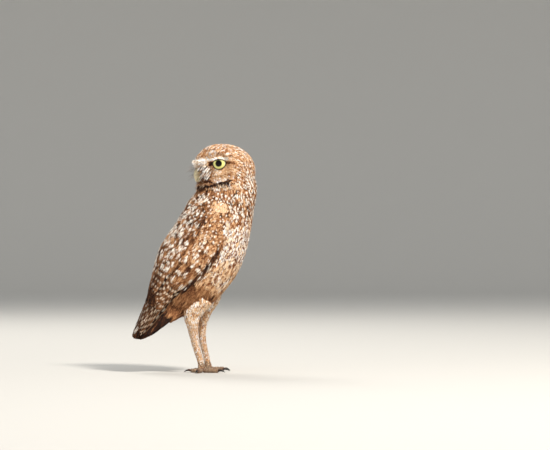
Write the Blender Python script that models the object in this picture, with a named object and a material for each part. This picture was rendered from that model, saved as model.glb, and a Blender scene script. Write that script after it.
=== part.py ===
"""A burrowing owl, life size, standing upright with its head turned to look back over its tail.

Frame: +Z up, +X the way the breast faces, +Y the owl's left side. The floor is Z = 0, and the
origin is on the floor under the middle of the owl. Every size below is in millimetres.

The trunk, neck and head are one closed form, parted by thin flat cuts. The wings, the tail and
the legs are closed forms of their own, each cut back from what it lies on.
"""

import math

import bmesh
import bpy
from mathutils import Matrix, Vector

MM = 0.001
GAP = 0.35
SIDES = {"right": -1, "left": 1}

# Trunk and neck: each row is one slanting section, from the vent up to the inside of the head,
# as (back x, back z, front x, front z, half width).
BODY_SECTIONS = (
    (-39.5, 64.0, -25.0, 50.5, 8.5),
    (-40.0, 76.0, -13.0, 57.0, 15.5),
    (-39.0, 92.0, 7.0, 62.0, 25.5),
    (-36.0, 110.0, 28.0, 80.0, 33.5),
    (-31.0, 130.0, 44.0, 101.0, 37.0),
    (-22.0, 151.0, 53.0, 122.0, 38.5),
    (-13.0, 166.0, 58.3, 146.0, 37.5),
    (-5.0, 180.0, 61.5, 166.0, 34.0),
    (2.0, 189.0, 64.3, 182.0, 31.0),
    (3.0, 194.0, 64.8, 194.0, 30.2),
    (6.0, 198.5, 62.0, 201.5, 28.5),
    (17.0, 202.5, 52.0, 206.0, 21.0),
)
BODY_STEPS = 2
BODY_POINTS = 30

# The two cuts, as (x, z, slope of the cut in degrees, front end up), and a block that spans them.
NECK_CUT = (28.0, 174.0, -12.0)
HEAD_CUT = (33.0, 193.5, 4.0)
CUT_BLOCK = 400.0

# Head: an egg with a flattened two-sided face, in its own frame with +X the way the bill points.
HEAD_CENTRE = (31.0, 0.0, 211.0)
HEAD_YAW = 204.0
HEAD_FRONT, HEAD_BACK, HEAD_SIDE = 29.0, 32.0, 30.5
HEAD_UP, HEAD_DOWN = 26.0, 48.0
HEAD_FULLNESS = 2.2
HEAD_SEGMENTS, HEAD_RINGS = 32, 20
CROWN_LEAN = 3.5
# The face's two flats: how far they lie from the head's middle, how far each is turned aside, and
# how sharply they meet the round of the head.
FACE_DEPTH, FACE_TURN, FACE_SHARPNESS = 25.2, 39.0, 9.0
FACE_REACH = 0.05
# Rounded rises on the head, as (towards x, y, z, height, spread in degrees).
HEAD_RISES = (
    (33.0, 4.0, 10.0, 3.2, 15.0),
    (33.0, -4.0, 10.0, 3.2, 15.0),
    (20.0, 20.0, 14.0, 2.0, 16.0),
    (20.0, -20.0, 14.0, 2.0, 16.0),
    (27.0, 0.0, -22.0, 4.5, 15.0),
    (20.0, 16.0, 4.5, -1.6, 15.0),
    (20.0, -16.0, 4.5, -1.6, 15.0),
)

EYE_RADIUS = 8.6
EYE_CENTRE = (11.8, 14.7, 5.2)
EYE_SEGMENTS, EYE_RINGS = 16, 10
# Bill: each half's sections in the head's frame, as (top x, top z, under x, under z, half width).
BILL_UPPER = (
    (23.0, 2.0, 23.0, -9.0, 5.0),
    (28.5, 1.8, 28.0, -9.0, 4.6),
    (32.2, -0.4, 29.6, -9.3, 3.9),
    (34.1, -4.4, 30.7, -9.9, 2.9),
    (34.0, -8.4, 31.5, -10.8, 1.7),
    (32.8, -12.2, 32.1, -12.5, 0.5),
)
BILL_LOWER = (
    (23.0, -8.0, 23.0, -13.2, 4.0),
    (28.0, -8.5, 27.5, -13.5, 3.2),
    (30.5, -10.0, 29.9, -13.9, 2.3),
    (31.7, -12.1, 31.3, -13.6, 0.9),
)
BILL_STEPS, BILL_POINTS = 2, 12

# Wings and tail share one slanting frame: along it from the shoulder to the tips, and across it
# from the back (minus) to the belly (plus).
SLANT_ORIGIN = (25.0, 170.0)
SLANT_ALONG = Vector((-0.55, 0.0, -0.835)).normalized()
SLANT_ACROSS = Vector((0.835, 0.0, -0.55)).normalized()
# Folded wing: (along, middle, half depth, half width, lower edge angle, upper edge, thickness).
# The upper edge is how far it stays from the owl's middle plane.
WING_SECTIONS = (
    (-11.0, 7.0, 32.0, 34.0, 88.0, 31.5, 9.0),
    (-4.0, 7.0, 36.0, 38.5, 76.0, 31.0, 11.0),
    (12.0, 9.0, 39.5, 42.0, 68.0, 22.0, 12.0),
    (30.0, 12.0, 42.0, 43.3, 66.0, 11.0, 12.0),
    (50.0, 14.0, 43.6, 43.0, 71.0, 3.0, 12.0),
    (70.0, 13.0, 41.5, 40.5, 72.0, 0.9, 12.0),
    (90.0, 8.5, 30.5, 34.5, 72.0, 0.9, 10.0),
    (108.0, 5.5, 20.8, 27.0, 65.0, 0.9, 5.0),
    (121.0, 5.0, 15.6, 22.0, 62.0, 0.9, 3.6),
    (140.0, 4.2, 10.9, 17.0, 62.0, 0.9, 3.0),
    (153.0, 3.4, 7.6, 13.0, 66.0, 0.9, 2.4),
    (160.5, 2.2, 4.2, 9.5, 70.0, 2.5, 1.6),
)
WING_STEPS = 2
WING_POINTS = 10
# How much the wing's lower edge hugs the belly, for each millimetre of its half width, and over
# which share of its arc.
WING_TUCK, WING_TUCK_SHARE = 0.093, 0.22
# Tail, arched across like a tent: (along, ridge, lower edge, half width, how far the top falls
# from the ridge to the edges, how far the underside rises between them).
TAIL_SECTIONS = (
    (98.0, -3.0, 24.0, 14.0, 6.0, 0.0),
    (112.0, -5.5, 27.0, 19.5, 14.0, 0.0),
    (122.0, -4.5, 25.0, 20.5, 17.0, 4.0),
    (134.0, -2.0, 20.5, 20.5, 19.0, 12.0),
    (146.0, 0.8, 16.2, 20.0, 13.0, 11.0),
    (154.0, 2.4, 11.0, 17.0, 7.0, 5.5),
    (158.5, 3.6, 7.4, 11.0, 2.6, 1.6),
)
TAIL_STEPS = 2
TAIL_POINTS = 9

# Legs, as (x, y, z, half depth, half width) from the belly down, for each side.
THIGHS = {
    "right": (
        (9.0, -14.0, 78.0, 12.0, 11.0),
        (1.0, -14.5, 66.0, 10.0, 8.8),
        (-2.4, -14.5, 58.5, 8.4, 7.2),
        (-1.6, -14.5, 49.5, 6.2, 5.6),
    ),
    "left": (
        (22.5, 13.0, 86.0, 6.5, 8.0),
        (19.0, 14.0, 75.5, 7.0, 7.6),
        (12.6, 14.5, 64.5, 5.6, 6.3),
        (9.0, 14.5, 53.5, 4.8, 5.0),
    ),
}
SHANKS = {
    "right": (
        (-1.5, -14.5, 49.0, 6.0, 5.4),
        (-0.6, -14.5, 41.0, 4.7, 4.4),
        (2.0, -14.5, 27.0, 3.6, 3.6),
        (5.6, -14.3, 15.6, 3.1, 3.2),
        (7.3, -14.0, 10.6, 3.3, 3.5),
    ),
    "left": (
        (8.9, 14.5, 53.0, 4.7, 4.8),
        (7.4, 14.5, 43.0, 4.0, 4.0),
        (8.4, 14.5, 30.0, 3.4, 3.5),
        (11.6, 14.3, 17.0, 3.0, 3.2),
        (13.3, 14.0, 10.6, 3.3, 3.5),
    ),
}
LEG_POINTS = 14
LEG_STEPS = 2

# Feet: how far each is turned out, and each toe as (turn outwards, length, thickness).
FOOT_TURNS = {"right": 6.0, "left": 14.0}
TOES = {
    "inner": (-20.0, 15.5, 2.5),
    "middle": (10.0, 18.0, 2.6),
    "outer": (98.0, 14.0, 2.4),
    "hind": (182.0, 10.5, 2.3),
}
TOE_POINTS = 8
# A toe's height at the ankle and on the floor, and the share of its length where it comes down.
TOE_ROOT_HEIGHT, TOE_HEIGHT, TOE_DROP = 5.6, 2.1, 0.3
# Swellings along a toe, as (share of its length, share of its thickness).
TOE_PADS = (
    (0.0, 1.15),
    (0.22, 1.05),
    (0.42, 0.86),
    (0.6, 1.0),
    (0.76, 0.84),
    (0.9, 0.96),
    (1.0, 0.8),
)
# The foot's middle, as (forward of the ankle, height, half depth, half width).
PALM_SECTIONS = (
    (0.0, 9.1, 3.2, 3.4),
    (0.3, 6.6, 3.5, 3.7),
    (0.6, 3.6, 3.7, 3.8),
    (0.8, 1.5, 2.8, 3.0),
)
CLAW_LENGTH = 7.5
# Claw curve: (share of its length, height, radius).
CLAW_SECTIONS = (
    (0.0, 2.2, 1.35),
    (0.3, 2.75, 1.2),
    (0.62, 2.3, 0.85),
    (0.85, 1.3, 0.5),
    (1.0, 0.55, 0.28),
)
FLOOR_BLOCK = (120.0, 120.0, 20.0)


def clear_scene():
    """Removes what the startup file holds."""
    for thing in list(bpy.data.objects):
        bpy.data.objects.remove(thing)


def material(name, colour, roughness, specular=0.5):
    """A plain finish with the part's own colour."""
    made = bpy.data.materials.new(name)
    made.use_nodes = True
    shader = made.node_tree.nodes["Principled BSDF"]
    shader.inputs["Base Color"].default_value = (*colour, 1.0)
    shader.inputs["Roughness"].default_value = roughness
    shader.inputs["Metallic"].default_value = 0.0
    shader.inputs["Specular IOR Level"].default_value = specular
    return made


def smoothed(rows, steps):
    """The rows with `steps` spans between each pair, on one curve through all of them."""
    made = []
    for i in range(len(rows) - 1):
        before, start = rows[max(i - 1, 0)], rows[i]
        end, after = rows[i + 1], rows[min(i + 2, len(rows) - 1)]
        for k in range(steps):
            t = k / steps
            made.append(tuple(
                0.5 * (2 * b + (c - a) * t + (2 * a - 5 * b + 4 * c - d) * t * t
                       + (3 * b - a - 3 * c + d) * t ** 3)
                for a, b, c, d in zip(before, start, end, after)
            ))
    made.append(tuple(rows[-1]))
    return made


def node(name, mesh, finish, smooth_angle=40.0):
    """One named object, smooth apart from its real edges."""
    mesh.shade_smooth()
    mesh.set_sharp_from_angle(angle=math.radians(smooth_angle))
    made = bpy.data.objects.new(name, mesh)
    bpy.context.scene.collection.objects.link(made)
    if finish is not None:
        made.data.materials.append(finish)
    return made


def placed(name, shape, place, finish=None):
    """Turns a finished form into a named object, moved by a matrix."""
    bmesh.ops.transform(shape, matrix=place, verts=shape.verts)
    bmesh.ops.recalc_face_normals(shape, faces=shape.faces)
    mesh = bpy.data.meshes.new(name)
    shape.to_mesh(mesh)
    shape.free()
    return node(name, mesh, finish)


def block(name, size, place):
    """A cutter in the form of a box of three sizes in millimetres, moved by a matrix."""
    shape = bmesh.new()
    bmesh.ops.create_cube(shape, size=1.0)
    stretch = Matrix.Diagonal((*(length * MM for length in size), 1.0))
    return hide(placed(name, shape, place @ stretch))


def loft(name, rings, finish=None):
    """A closed form through rings of points in millimetres, with an end cap on each end."""
    shape = bmesh.new()
    loops = [[shape.verts.new(Vector(p) * MM) for p in ring] for ring in rings]
    count = len(loops[0])
    for low, high in zip(loops, loops[1:]):
        for i in range(count):
            j = (i + 1) % count
            shape.faces.new((low[i], low[j], high[j], high[i]))
    for loop in (loops[0], loops[-1]):
        middle = sum((v.co for v in loop), Vector()) / count
        hub = shape.verts.new(middle)
        for i in range(count):
            shape.faces.new((loop[i], loop[(i + 1) % count], hub))
    return placed(name, shape, Matrix.Identity(4), finish)


def hide(thing):
    """Marks a cutter, which isn't part of the owl."""
    thing.hide_render = True
    thing.display_type = "WIRE"
    return thing


def boolean(thing, other, operation):
    """Adds one exact Boolean with another object."""
    step = thing.modifiers.new(operation.title(), "BOOLEAN")
    step.operation = operation
    step.solver = "EXACT"
    step.object = other


def ellipse(centre, deep, wide, points):
    """Points round a centre: `deep` and `wide` are the two half axes, as vectors."""
    turn = 2 * math.pi / points
    return [
        centre + deep * math.cos(turn * i) + wide * math.sin(turn * i)
        for i in range(points)
    ]


def tube(name, rows, points, finish=None):
    """A round limb through rows of (x, y, z, half depth, half width), square to its own line.

    Half depth lies in the X Z plane, and half width lies along Y.
    """
    rings = []
    for i, (x, y, z, deep, wide) in enumerate(rows):
        ahead = Vector(rows[min(i + 1, len(rows) - 1)][:3])
        along = (ahead - Vector(rows[max(i - 1, 0)][:3])).normalized()
        side = Vector((0.0, 1.0, 0.0))
        front = side.cross(along).normalized()
        rings.append(ellipse(Vector((x, y, z)), front * deep, side * wide, points))
    return loft(name, rings, finish)


def sections(name, rows, steps, points, finish=None, grow=0.0):
    """A closed form through slanting oval sections, each between two points of the middle plane."""
    rings = []
    for first_x, first_z, last_x, last_z, half_width in smoothed(rows, steps):
        first, last = Vector((first_x, 0.0, first_z)), Vector((last_x, 0.0, last_z))
        deep = (last - first) / 2
        deep += deep.normalized() * grow
        wide = Vector((0.0, half_width + grow, 0.0))
        rings.append(ellipse((first + last) / 2, deep, wide, points))
    return loft(name, rings, finish)


def body(name, finish=None, grow=0.0):
    """Trunk and neck, up into the head, as one closed form."""
    return sections(name, BODY_SECTIONS, BODY_STEPS, BODY_POINTS, finish, grow)


def head_point(way):
    """Where the head's surface lies along a direction in the head's own frame."""
    x, y, z = way
    front = HEAD_FRONT if x > 0 else HEAD_BACK
    tall = HEAD_UP if z > 0 else HEAD_DOWN
    shares = (x / front, y / HEAD_SIDE, z / tall)
    reach = sum(abs(share) ** HEAD_FULLNESS for share in shares) ** (-1 / HEAD_FULLNESS)
    turn = math.radians(FACE_TURN)
    for side in (1, -1):
        facing = x * math.cos(turn) + side * y * math.sin(turn)
        if facing > FACE_REACH:
            plane = FACE_DEPTH / facing
            reach = (reach ** -FACE_SHARPNESS + plane ** -FACE_SHARPNESS) ** (-1 / FACE_SHARPNESS)
    for rise in HEAD_RISES:
        apart = way.angle(Vector(rise[:3]))
        reach += rise[3] * math.exp(-((apart / math.radians(rise[4])) ** 2))
    point = way * reach
    point.x += CROWN_LEAN * max(point.z, 0.0) / HEAD_UP
    return point


def head_place():
    """The head's own frame, set in the owl's."""
    turn = Matrix.Rotation(math.radians(HEAD_YAW), 4, "Z")
    return Matrix.Translation(Vector(HEAD_CENTRE) * MM) @ turn


def head_form(name, finish=None, grow=0.0):
    """The head as a closed form."""
    shape = bmesh.new()
    bmesh.ops.create_uvsphere(shape, u_segments=HEAD_SEGMENTS, v_segments=HEAD_RINGS, radius=1.0)
    for v in shape.verts:
        way = v.co.normalized()
        v.co = (head_point(way) + way * grow) * MM
    return placed(name, shape, head_place(), finish)


def half_space(name, cut, above):
    """A large block that fills one side of a cut's plane, and half a gap beyond it."""
    x, z, slope = cut
    shift = (CUT_BLOCK / 2 - GAP / 2) * (1 if above else -1)
    place = (
        Matrix.Translation(Vector((x, 0.0, z)) * MM)
        @ Matrix.Rotation(math.radians(-slope), 4, "Y")
        @ Matrix.Translation(Vector((0.0, 0.0, shift)) * MM)
    )
    return block(name, (CUT_BLOCK, CUT_BLOCK, CUT_BLOCK), place)


def ball(name, centre, radius, finish=None):
    """A round ball in the head's frame."""
    shape = bmesh.new()
    bmesh.ops.create_uvsphere(
        shape, u_segments=EYE_SEGMENTS, v_segments=EYE_RINGS, radius=radius * MM
    )
    return placed(name, shape, head_place() @ Matrix.Translation(Vector(centre) * MM), finish)


def eye_centre(side):
    """The middle of the right or left eyeball, in the head's frame."""
    x, y, z = EYE_CENTRE
    return (x, y * side, z)


def build_head_and_trunk(finish):
    """Trunk, neck and head out of one form, with the eyes' sockets."""
    crown = hide(head_form("head_form"))
    above_neck = half_space("above_neck_cut", NECK_CUT, True)
    below_neck = half_space("below_neck_cut", NECK_CUT, False)
    above_head = half_space("above_head_cut", HEAD_CUT, True)
    below_head = half_space("below_head_cut", HEAD_CUT, False)
    trunk, neck, head = (body(name, finish) for name in ("trunk", "neck", "head"))
    for thing in (trunk, neck, head):
        boolean(thing, crown, "UNION")
    boolean(trunk, above_neck, "DIFFERENCE")
    boolean(neck, below_neck, "DIFFERENCE")
    boolean(neck, above_head, "DIFFERENCE")
    boolean(head, below_head, "DIFFERENCE")
    for name, side in SIDES.items():
        socket = hide(ball(f"socket_{name}", eye_centre(side), EYE_RADIUS + GAP))
        boolean(head, socket, "DIFFERENCE")


def build_eyes(finish):
    """The two eyeballs. The head keeps its own right and left, so they lie crosswise here."""
    for name, side in SIDES.items():
        ball(f"eye_{name}", eye_centre(side), EYE_RADIUS, finish)


def bill_half(name, rows, finish=None, grow=0.0):
    """One half of the bill, as a curved cone in the head's frame."""
    made = sections(name, rows, BILL_STEPS, BILL_POINTS, finish, grow)
    made.data.transform(head_place())
    return made


def build_bill(finish, throat):
    """Both halves of the bill, cut back from the face, the throat and from each other."""
    face = hide(head_form("face_cutter", grow=GAP))
    upper_cutter = hide(bill_half("bill_cutter", BILL_UPPER, grow=GAP))
    upper = bill_half("bill_upper", BILL_UPPER, finish)
    lower = bill_half("bill_lower", BILL_LOWER, finish)
    for half in (upper, lower):
        boolean(half, face, "DIFFERENCE")
        boolean(half, throat, "DIFFERENCE")
    boolean(lower, upper_cutter, "DIFFERENCE")


def slanting(along, across, out=0.0):
    """A point of the wings' and tail's slanting frame, in the owl's."""
    origin = Vector((SLANT_ORIGIN[0], 0.0, SLANT_ORIGIN[1]))
    return origin + SLANT_ALONG * along + SLANT_ACROSS * across + Vector((0.0, out, 0.0))


def wing_ring(row, side):
    """One section of the folded wing: an outer arc over the body and an inner arc back."""
    along, middle, deep, wide, low, upper, thick = row
    start, end = math.radians(low), math.pi - math.asin(upper / wide)
    ring = []
    for inner, order in ((False, range(WING_POINTS)), (True, reversed(range(WING_POINTS)))):
        for i in order:
            share = i / (WING_POINTS - 1)
            turn = start + (end - start) * share
            edge = max(0.0, 1 - share / WING_TUCK_SHARE)
            inset = thick if inner else WING_TUCK * wide * edge * edge
            across = middle + (deep - inset) * math.cos(turn)
            ring.append(slanting(along, across, side * (wide - inset) * math.sin(turn)))
    return ring


def build_wings(finish, trunk_cutter, tail_cutter):
    """Both folded wings, cut back from the trunk and the tail."""
    for name, side in SIDES.items():
        rings = [wing_ring(row, side) for row in smoothed(WING_SECTIONS, WING_STEPS)]
        wing = loft(f"wing_{name}", rings, finish)
        boolean(wing, trunk_cutter, "DIFFERENCE")
        boolean(wing, tail_cutter, "DIFFERENCE")


def tail_ring(row, grow=0.0):
    """One section of the closed tail, arched over its middle."""
    along, ridge, edge, wide, fall, rise = row
    ring = []
    for under, order in ((False, range(TAIL_POINTS)), (True, reversed(range(TAIL_POINTS)))):
        for i in order:
            share = 2 * i / (TAIL_POINTS - 1) - 1
            top = ridge + fall * share * share - grow
            bottom = edge - rise * (1 - share * share) + grow
            ring.append(slanting(along, bottom if under else top, share * (wide + grow)))
    return ring


def tail(name, finish=None, grow=0.0):
    """The closed tail, rounded off at its tip."""
    rows = smoothed(TAIL_SECTIONS, TAIL_STEPS)
    return loft(name, [tail_ring(row, grow) for row in rows], finish)


def toe_rows(ankle, turn, length, thick):
    """A toe's line from the ankle down to the floor and along it."""
    way = Vector((math.cos(turn), math.sin(turn), 0.0))
    rows = []
    for share, swell in TOE_PADS:
        drop = min(1.0, share / TOE_DROP)
        height = TOE_ROOT_HEIGHT + (TOE_HEIGHT - TOE_ROOT_HEIGHT) * drop * (2 - drop)
        place = ankle + way * (length * share)
        rows.append((place.x, place.y, height, thick * swell))
    return rows


def toe(name, rows, finish=None):
    """A toe as rings square to its direction on the floor."""
    start, end = Vector(rows[0][:2]), Vector(rows[-1][:2])
    way = Vector((*(end - start), 0.0)).normalized()
    side = Vector((-way.y, way.x, 0.0))
    rings = [
        ellipse(Vector((x, y, z)), side * thick, Vector((0.0, 0.0, thick)), TOE_POINTS)
        for x, y, z, thick in rows
    ]
    return loft(name, rings, finish)


def claw_rows(root, way):
    """A claw's line from the toe's end, up a little and down to its point."""
    rows = []
    for share, height, radius in CLAW_SECTIONS:
        place = root + way * (CLAW_LENGTH * share)
        rows.append((place.x, place.y, height, radius))
    return rows


def build_foot(name, side, skin, horn):
    """A foot with its four toes joined, flat where it stands, and its four claws."""
    shank_end = SHANKS[name][-1]
    ankle = Vector((shank_end[0], shank_end[1], 0.0))
    palm = [
        (ankle.x + ahead, ankle.y, height, deep, wide)
        for ahead, height, deep, wide in PALM_SECTIONS
    ]
    foot = tube(f"foot_{name}", palm, LEG_POINTS, skin)
    for toe_name, (out, length, thick) in TOES.items():
        turn = math.radians(out + FOOT_TURNS[name]) * side
        rows = toe_rows(ankle, turn, length, thick)
        boolean(foot, hide(toe(f"{toe_name}_toe_{name}", rows)), "UNION")
        way = Vector((math.cos(turn), math.sin(turn), 0.0))
        toe(f"claw_{toe_name}_{name}", claw_rows(ankle + way * (length + GAP), way), horn)
    under = Vector((ankle.x, ankle.y, -FLOOR_BLOCK[2] / 2)) * MM
    floor = block(f"floor_cutter_{name}", FLOOR_BLOCK, Matrix.Translation(under))
    boolean(foot, floor, "DIFFERENCE")


def build_legs(plumage, skin, horn, trunk_cutter):
    """Thigh, shank and foot of each side."""
    for name, side in SIDES.items():
        thigh = tube(f"thigh_{name}", smoothed(THIGHS[name], LEG_STEPS), LEG_POINTS, plumage)
        boolean(thigh, trunk_cutter, "DIFFERENCE")
        tube(f"shank_{name}", smoothed(SHANKS[name], LEG_STEPS), LEG_POINTS, plumage)
        build_foot(name, side, skin, horn)


def main():
    """Builds the owl from the trunk outwards."""
    clear_scene()
    brown = material("brown_plumage", (0.36, 0.22, 0.12), 0.85, 0.2)
    spotted = material("spotted_plumage", (0.55, 0.38, 0.24), 0.85, 0.2)
    white = material("white_leg_down", (0.72, 0.6, 0.46), 0.9, 0.2)
    skin = material("grey_toe_skin", (0.36, 0.3, 0.23), 0.6)
    horn = material("black_horn", (0.05, 0.04, 0.035), 0.35)
    pale_horn = material("pale_bill_horn", (0.6, 0.57, 0.4), 0.35)
    yellow = material("yellow_eye", (0.8, 0.68, 0.16), 0.08)

    trunk_cutter = hide(body("trunk_cutter", grow=GAP))
    tail_cutter = hide(tail("tail_cutter", grow=GAP))
    build_head_and_trunk(spotted)
    build_eyes(yellow)
    build_bill(pale_horn, trunk_cutter)
    boolean(tail("tail", brown), trunk_cutter, "DIFFERENCE")
    build_wings(brown, trunk_cutter, tail_cutter)
    build_legs(white, skin, horn, trunk_cutter)


main()
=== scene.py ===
"""A life-size burrowing owl that stands on both feet and looks back over its tail.

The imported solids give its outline, out to the tips of the feathers. One skin takes the place of the
solids of flesh and lies under that outline by the depth of the plumage. Feathers of solid mesh lie over
it, tract by tract, from the bill to the toes. Eyes, lids, bill and claws are pieces of their own.
Lengths are in millimetres, and MM turns them into metres.
"""

import logging
import math
from collections.abc import Callable
from dataclasses import dataclass
from enum import Enum

import bpy
import numpy as np
from mathutils import Matrix, Vector
from mathutils.bvhtree import BVHTree


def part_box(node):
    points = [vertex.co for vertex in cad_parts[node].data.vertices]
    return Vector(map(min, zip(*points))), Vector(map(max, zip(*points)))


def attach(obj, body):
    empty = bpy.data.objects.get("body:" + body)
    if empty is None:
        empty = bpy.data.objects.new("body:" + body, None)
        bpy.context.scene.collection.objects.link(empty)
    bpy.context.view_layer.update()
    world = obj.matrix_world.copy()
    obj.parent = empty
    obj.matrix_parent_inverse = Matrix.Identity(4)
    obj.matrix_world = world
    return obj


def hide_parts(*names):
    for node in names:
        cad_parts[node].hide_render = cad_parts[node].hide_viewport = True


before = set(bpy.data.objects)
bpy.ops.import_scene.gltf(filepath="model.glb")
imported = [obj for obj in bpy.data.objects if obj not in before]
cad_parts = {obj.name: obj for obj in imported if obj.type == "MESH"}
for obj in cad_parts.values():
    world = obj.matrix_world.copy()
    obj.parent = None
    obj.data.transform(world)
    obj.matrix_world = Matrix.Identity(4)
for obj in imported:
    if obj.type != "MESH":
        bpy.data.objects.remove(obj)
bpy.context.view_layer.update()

log = logging.getLogger("owl")
MM = 0.001
SEED = 7
BODY = "root"

FLESH = (
    "head", "neck", "trunk", "tail", "wing_left", "wing_right", "thigh_left", "thigh_right",
    "shank_left", "shank_right", "foot_left", "foot_right",
)
SIDES = {"left": 1, "right": -1}

# The head's own frame: its centre, the way the bill points, the owl's left and up
HEAD_CENTRE = np.array((31.0, 0.0, 211.0))
HEAD_YAW = math.radians(204)
AHEAD = np.array((math.cos(HEAD_YAW), math.sin(HEAD_YAW), 0.0))
LEFTWARD = np.array((-math.sin(HEAD_YAW), math.cos(HEAD_YAW), 0.0))
UPWARD = np.array((0.0, 0.0, 1.0))
EYE_PLACE = np.array((11.8, 14.7, 5.2))
EYE_AXIS = np.array((0.475, 0.88, 0.02))
EYE_RADIUS = 8.6

# The slanting frame of the folded wings and the back: along runs to the tail, across to the breast
SLANT_ORIGIN = np.array((25.0, 0.0, 170.0))
ALONG = np.array((-0.55, 0.0, -0.835))
ACROSS = np.array((0.835, 0.0, -0.55))


class Hue(Enum):
    """The plumage's and horn's colours, as red, green and blue on a screen from 0 to 1."""

    NIGHT = (0.13, 0.06, 0.03)
    UMBER = (0.34, 0.18, 0.085)
    RUST = (0.50, 0.285, 0.14)
    BROWN = (0.60, 0.40, 0.25)
    TAN = (0.80, 0.60, 0.42)
    BUFF = (0.92, 0.765, 0.60)
    CREAM = (0.95, 0.87, 0.77)
    WHITE = (0.985, 0.945, 0.89)
    TOE = (0.62, 0.54, 0.45)
    HORN = (0.83, 0.78, 0.64)
    HORN_BASE = (0.55, 0.51, 0.40)
    CLAW = (0.10, 0.085, 0.075)
    IRIS = (0.91, 0.89, 0.56)
    IRIS_RIM = (0.56, 0.58, 0.32)
    LID = (0.05, 0.04, 0.035)
    STUDIO = (0.77, 0.76, 0.74)

    def linear(self) -> tuple[float, float, float, float]:
        """Returns the colour as Blender's shaders take it."""
        tones = (c / 12.92 if c <= 0.04045 else ((c + 0.055) / 1.055) ** 2.4 for c in self.value)
        return (*tones, 1.0)


def unit(vectors: np.ndarray) -> np.ndarray:
    """Returns the vectors at length one."""
    return vectors / np.maximum(np.linalg.norm(vectors, axis=-1, keepdims=True), 1e-9)


def flattened(vectors: np.ndarray, normals: np.ndarray) -> np.ndarray:
    """Returns the vectors laid into the surface, at length one."""
    return unit(vectors - normals * (vectors * normals).sum(-1, keepdims=True))


def ease(values: np.ndarray, low: float, high: float) -> np.ndarray:
    """Returns 0 before low and 1 past high, with a smooth rise between. High may be the smaller."""
    part = np.clip((values - low) / (high - low), 0, 1)
    return part * part * (3 - 2 * part)


def in_head(places: np.ndarray) -> np.ndarray:
    """Returns places in the head's frame: ahead, leftward and up from its centre."""
    return (places - HEAD_CENTRE) @ np.stack([AHEAD, LEFTWARD, UPWARD]).T


def from_head(local: np.ndarray) -> np.ndarray:
    """Returns the places of points given in the head's frame."""
    return HEAD_CENTRE + local @ np.stack([AHEAD, LEFTWARD, UPWARD])


def head_way(local: np.ndarray) -> np.ndarray:
    """Returns a direction given in the head's frame as one of the owl's frame."""
    return unit(local @ np.stack([AHEAD, LEFTWARD, UPWARD]))


def in_slant(places: np.ndarray) -> tuple[np.ndarray, np.ndarray]:
    """Returns how far places lie along the slanting back and across it."""
    off = places - SLANT_ORIGIN
    return off @ ALONG, off @ ACROSS


def in_eye(places: np.ndarray) -> tuple[np.ndarray, np.ndarray, np.ndarray]:
    """Gives places as the nearer eye sees them, both eyes alike.

    Args:
        places: The places, in rows of three.

    Returns:
        How far behind the pupil, above it and from the eyeball's middle they lie.
    """
    local = in_head(places)
    local[:, 1] = np.abs(local[:, 1])
    off = local - EYE_PLACE
    back = unit(np.cross(UPWARD, EYE_AXIS))
    return off @ back, off[:, 2], np.linalg.norm(off, axis=1)


def eye_centre(side: int) -> np.ndarray:
    """Returns the middle of an eyeball. Side is 1 for the left and -1 for the right."""
    return from_head(EYE_PLACE * (1, side, 1))


def eye_axis(side: int) -> np.ndarray:
    """Returns the way an eye looks."""
    return head_way(EYE_AXIS * (1, side, 1))


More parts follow.
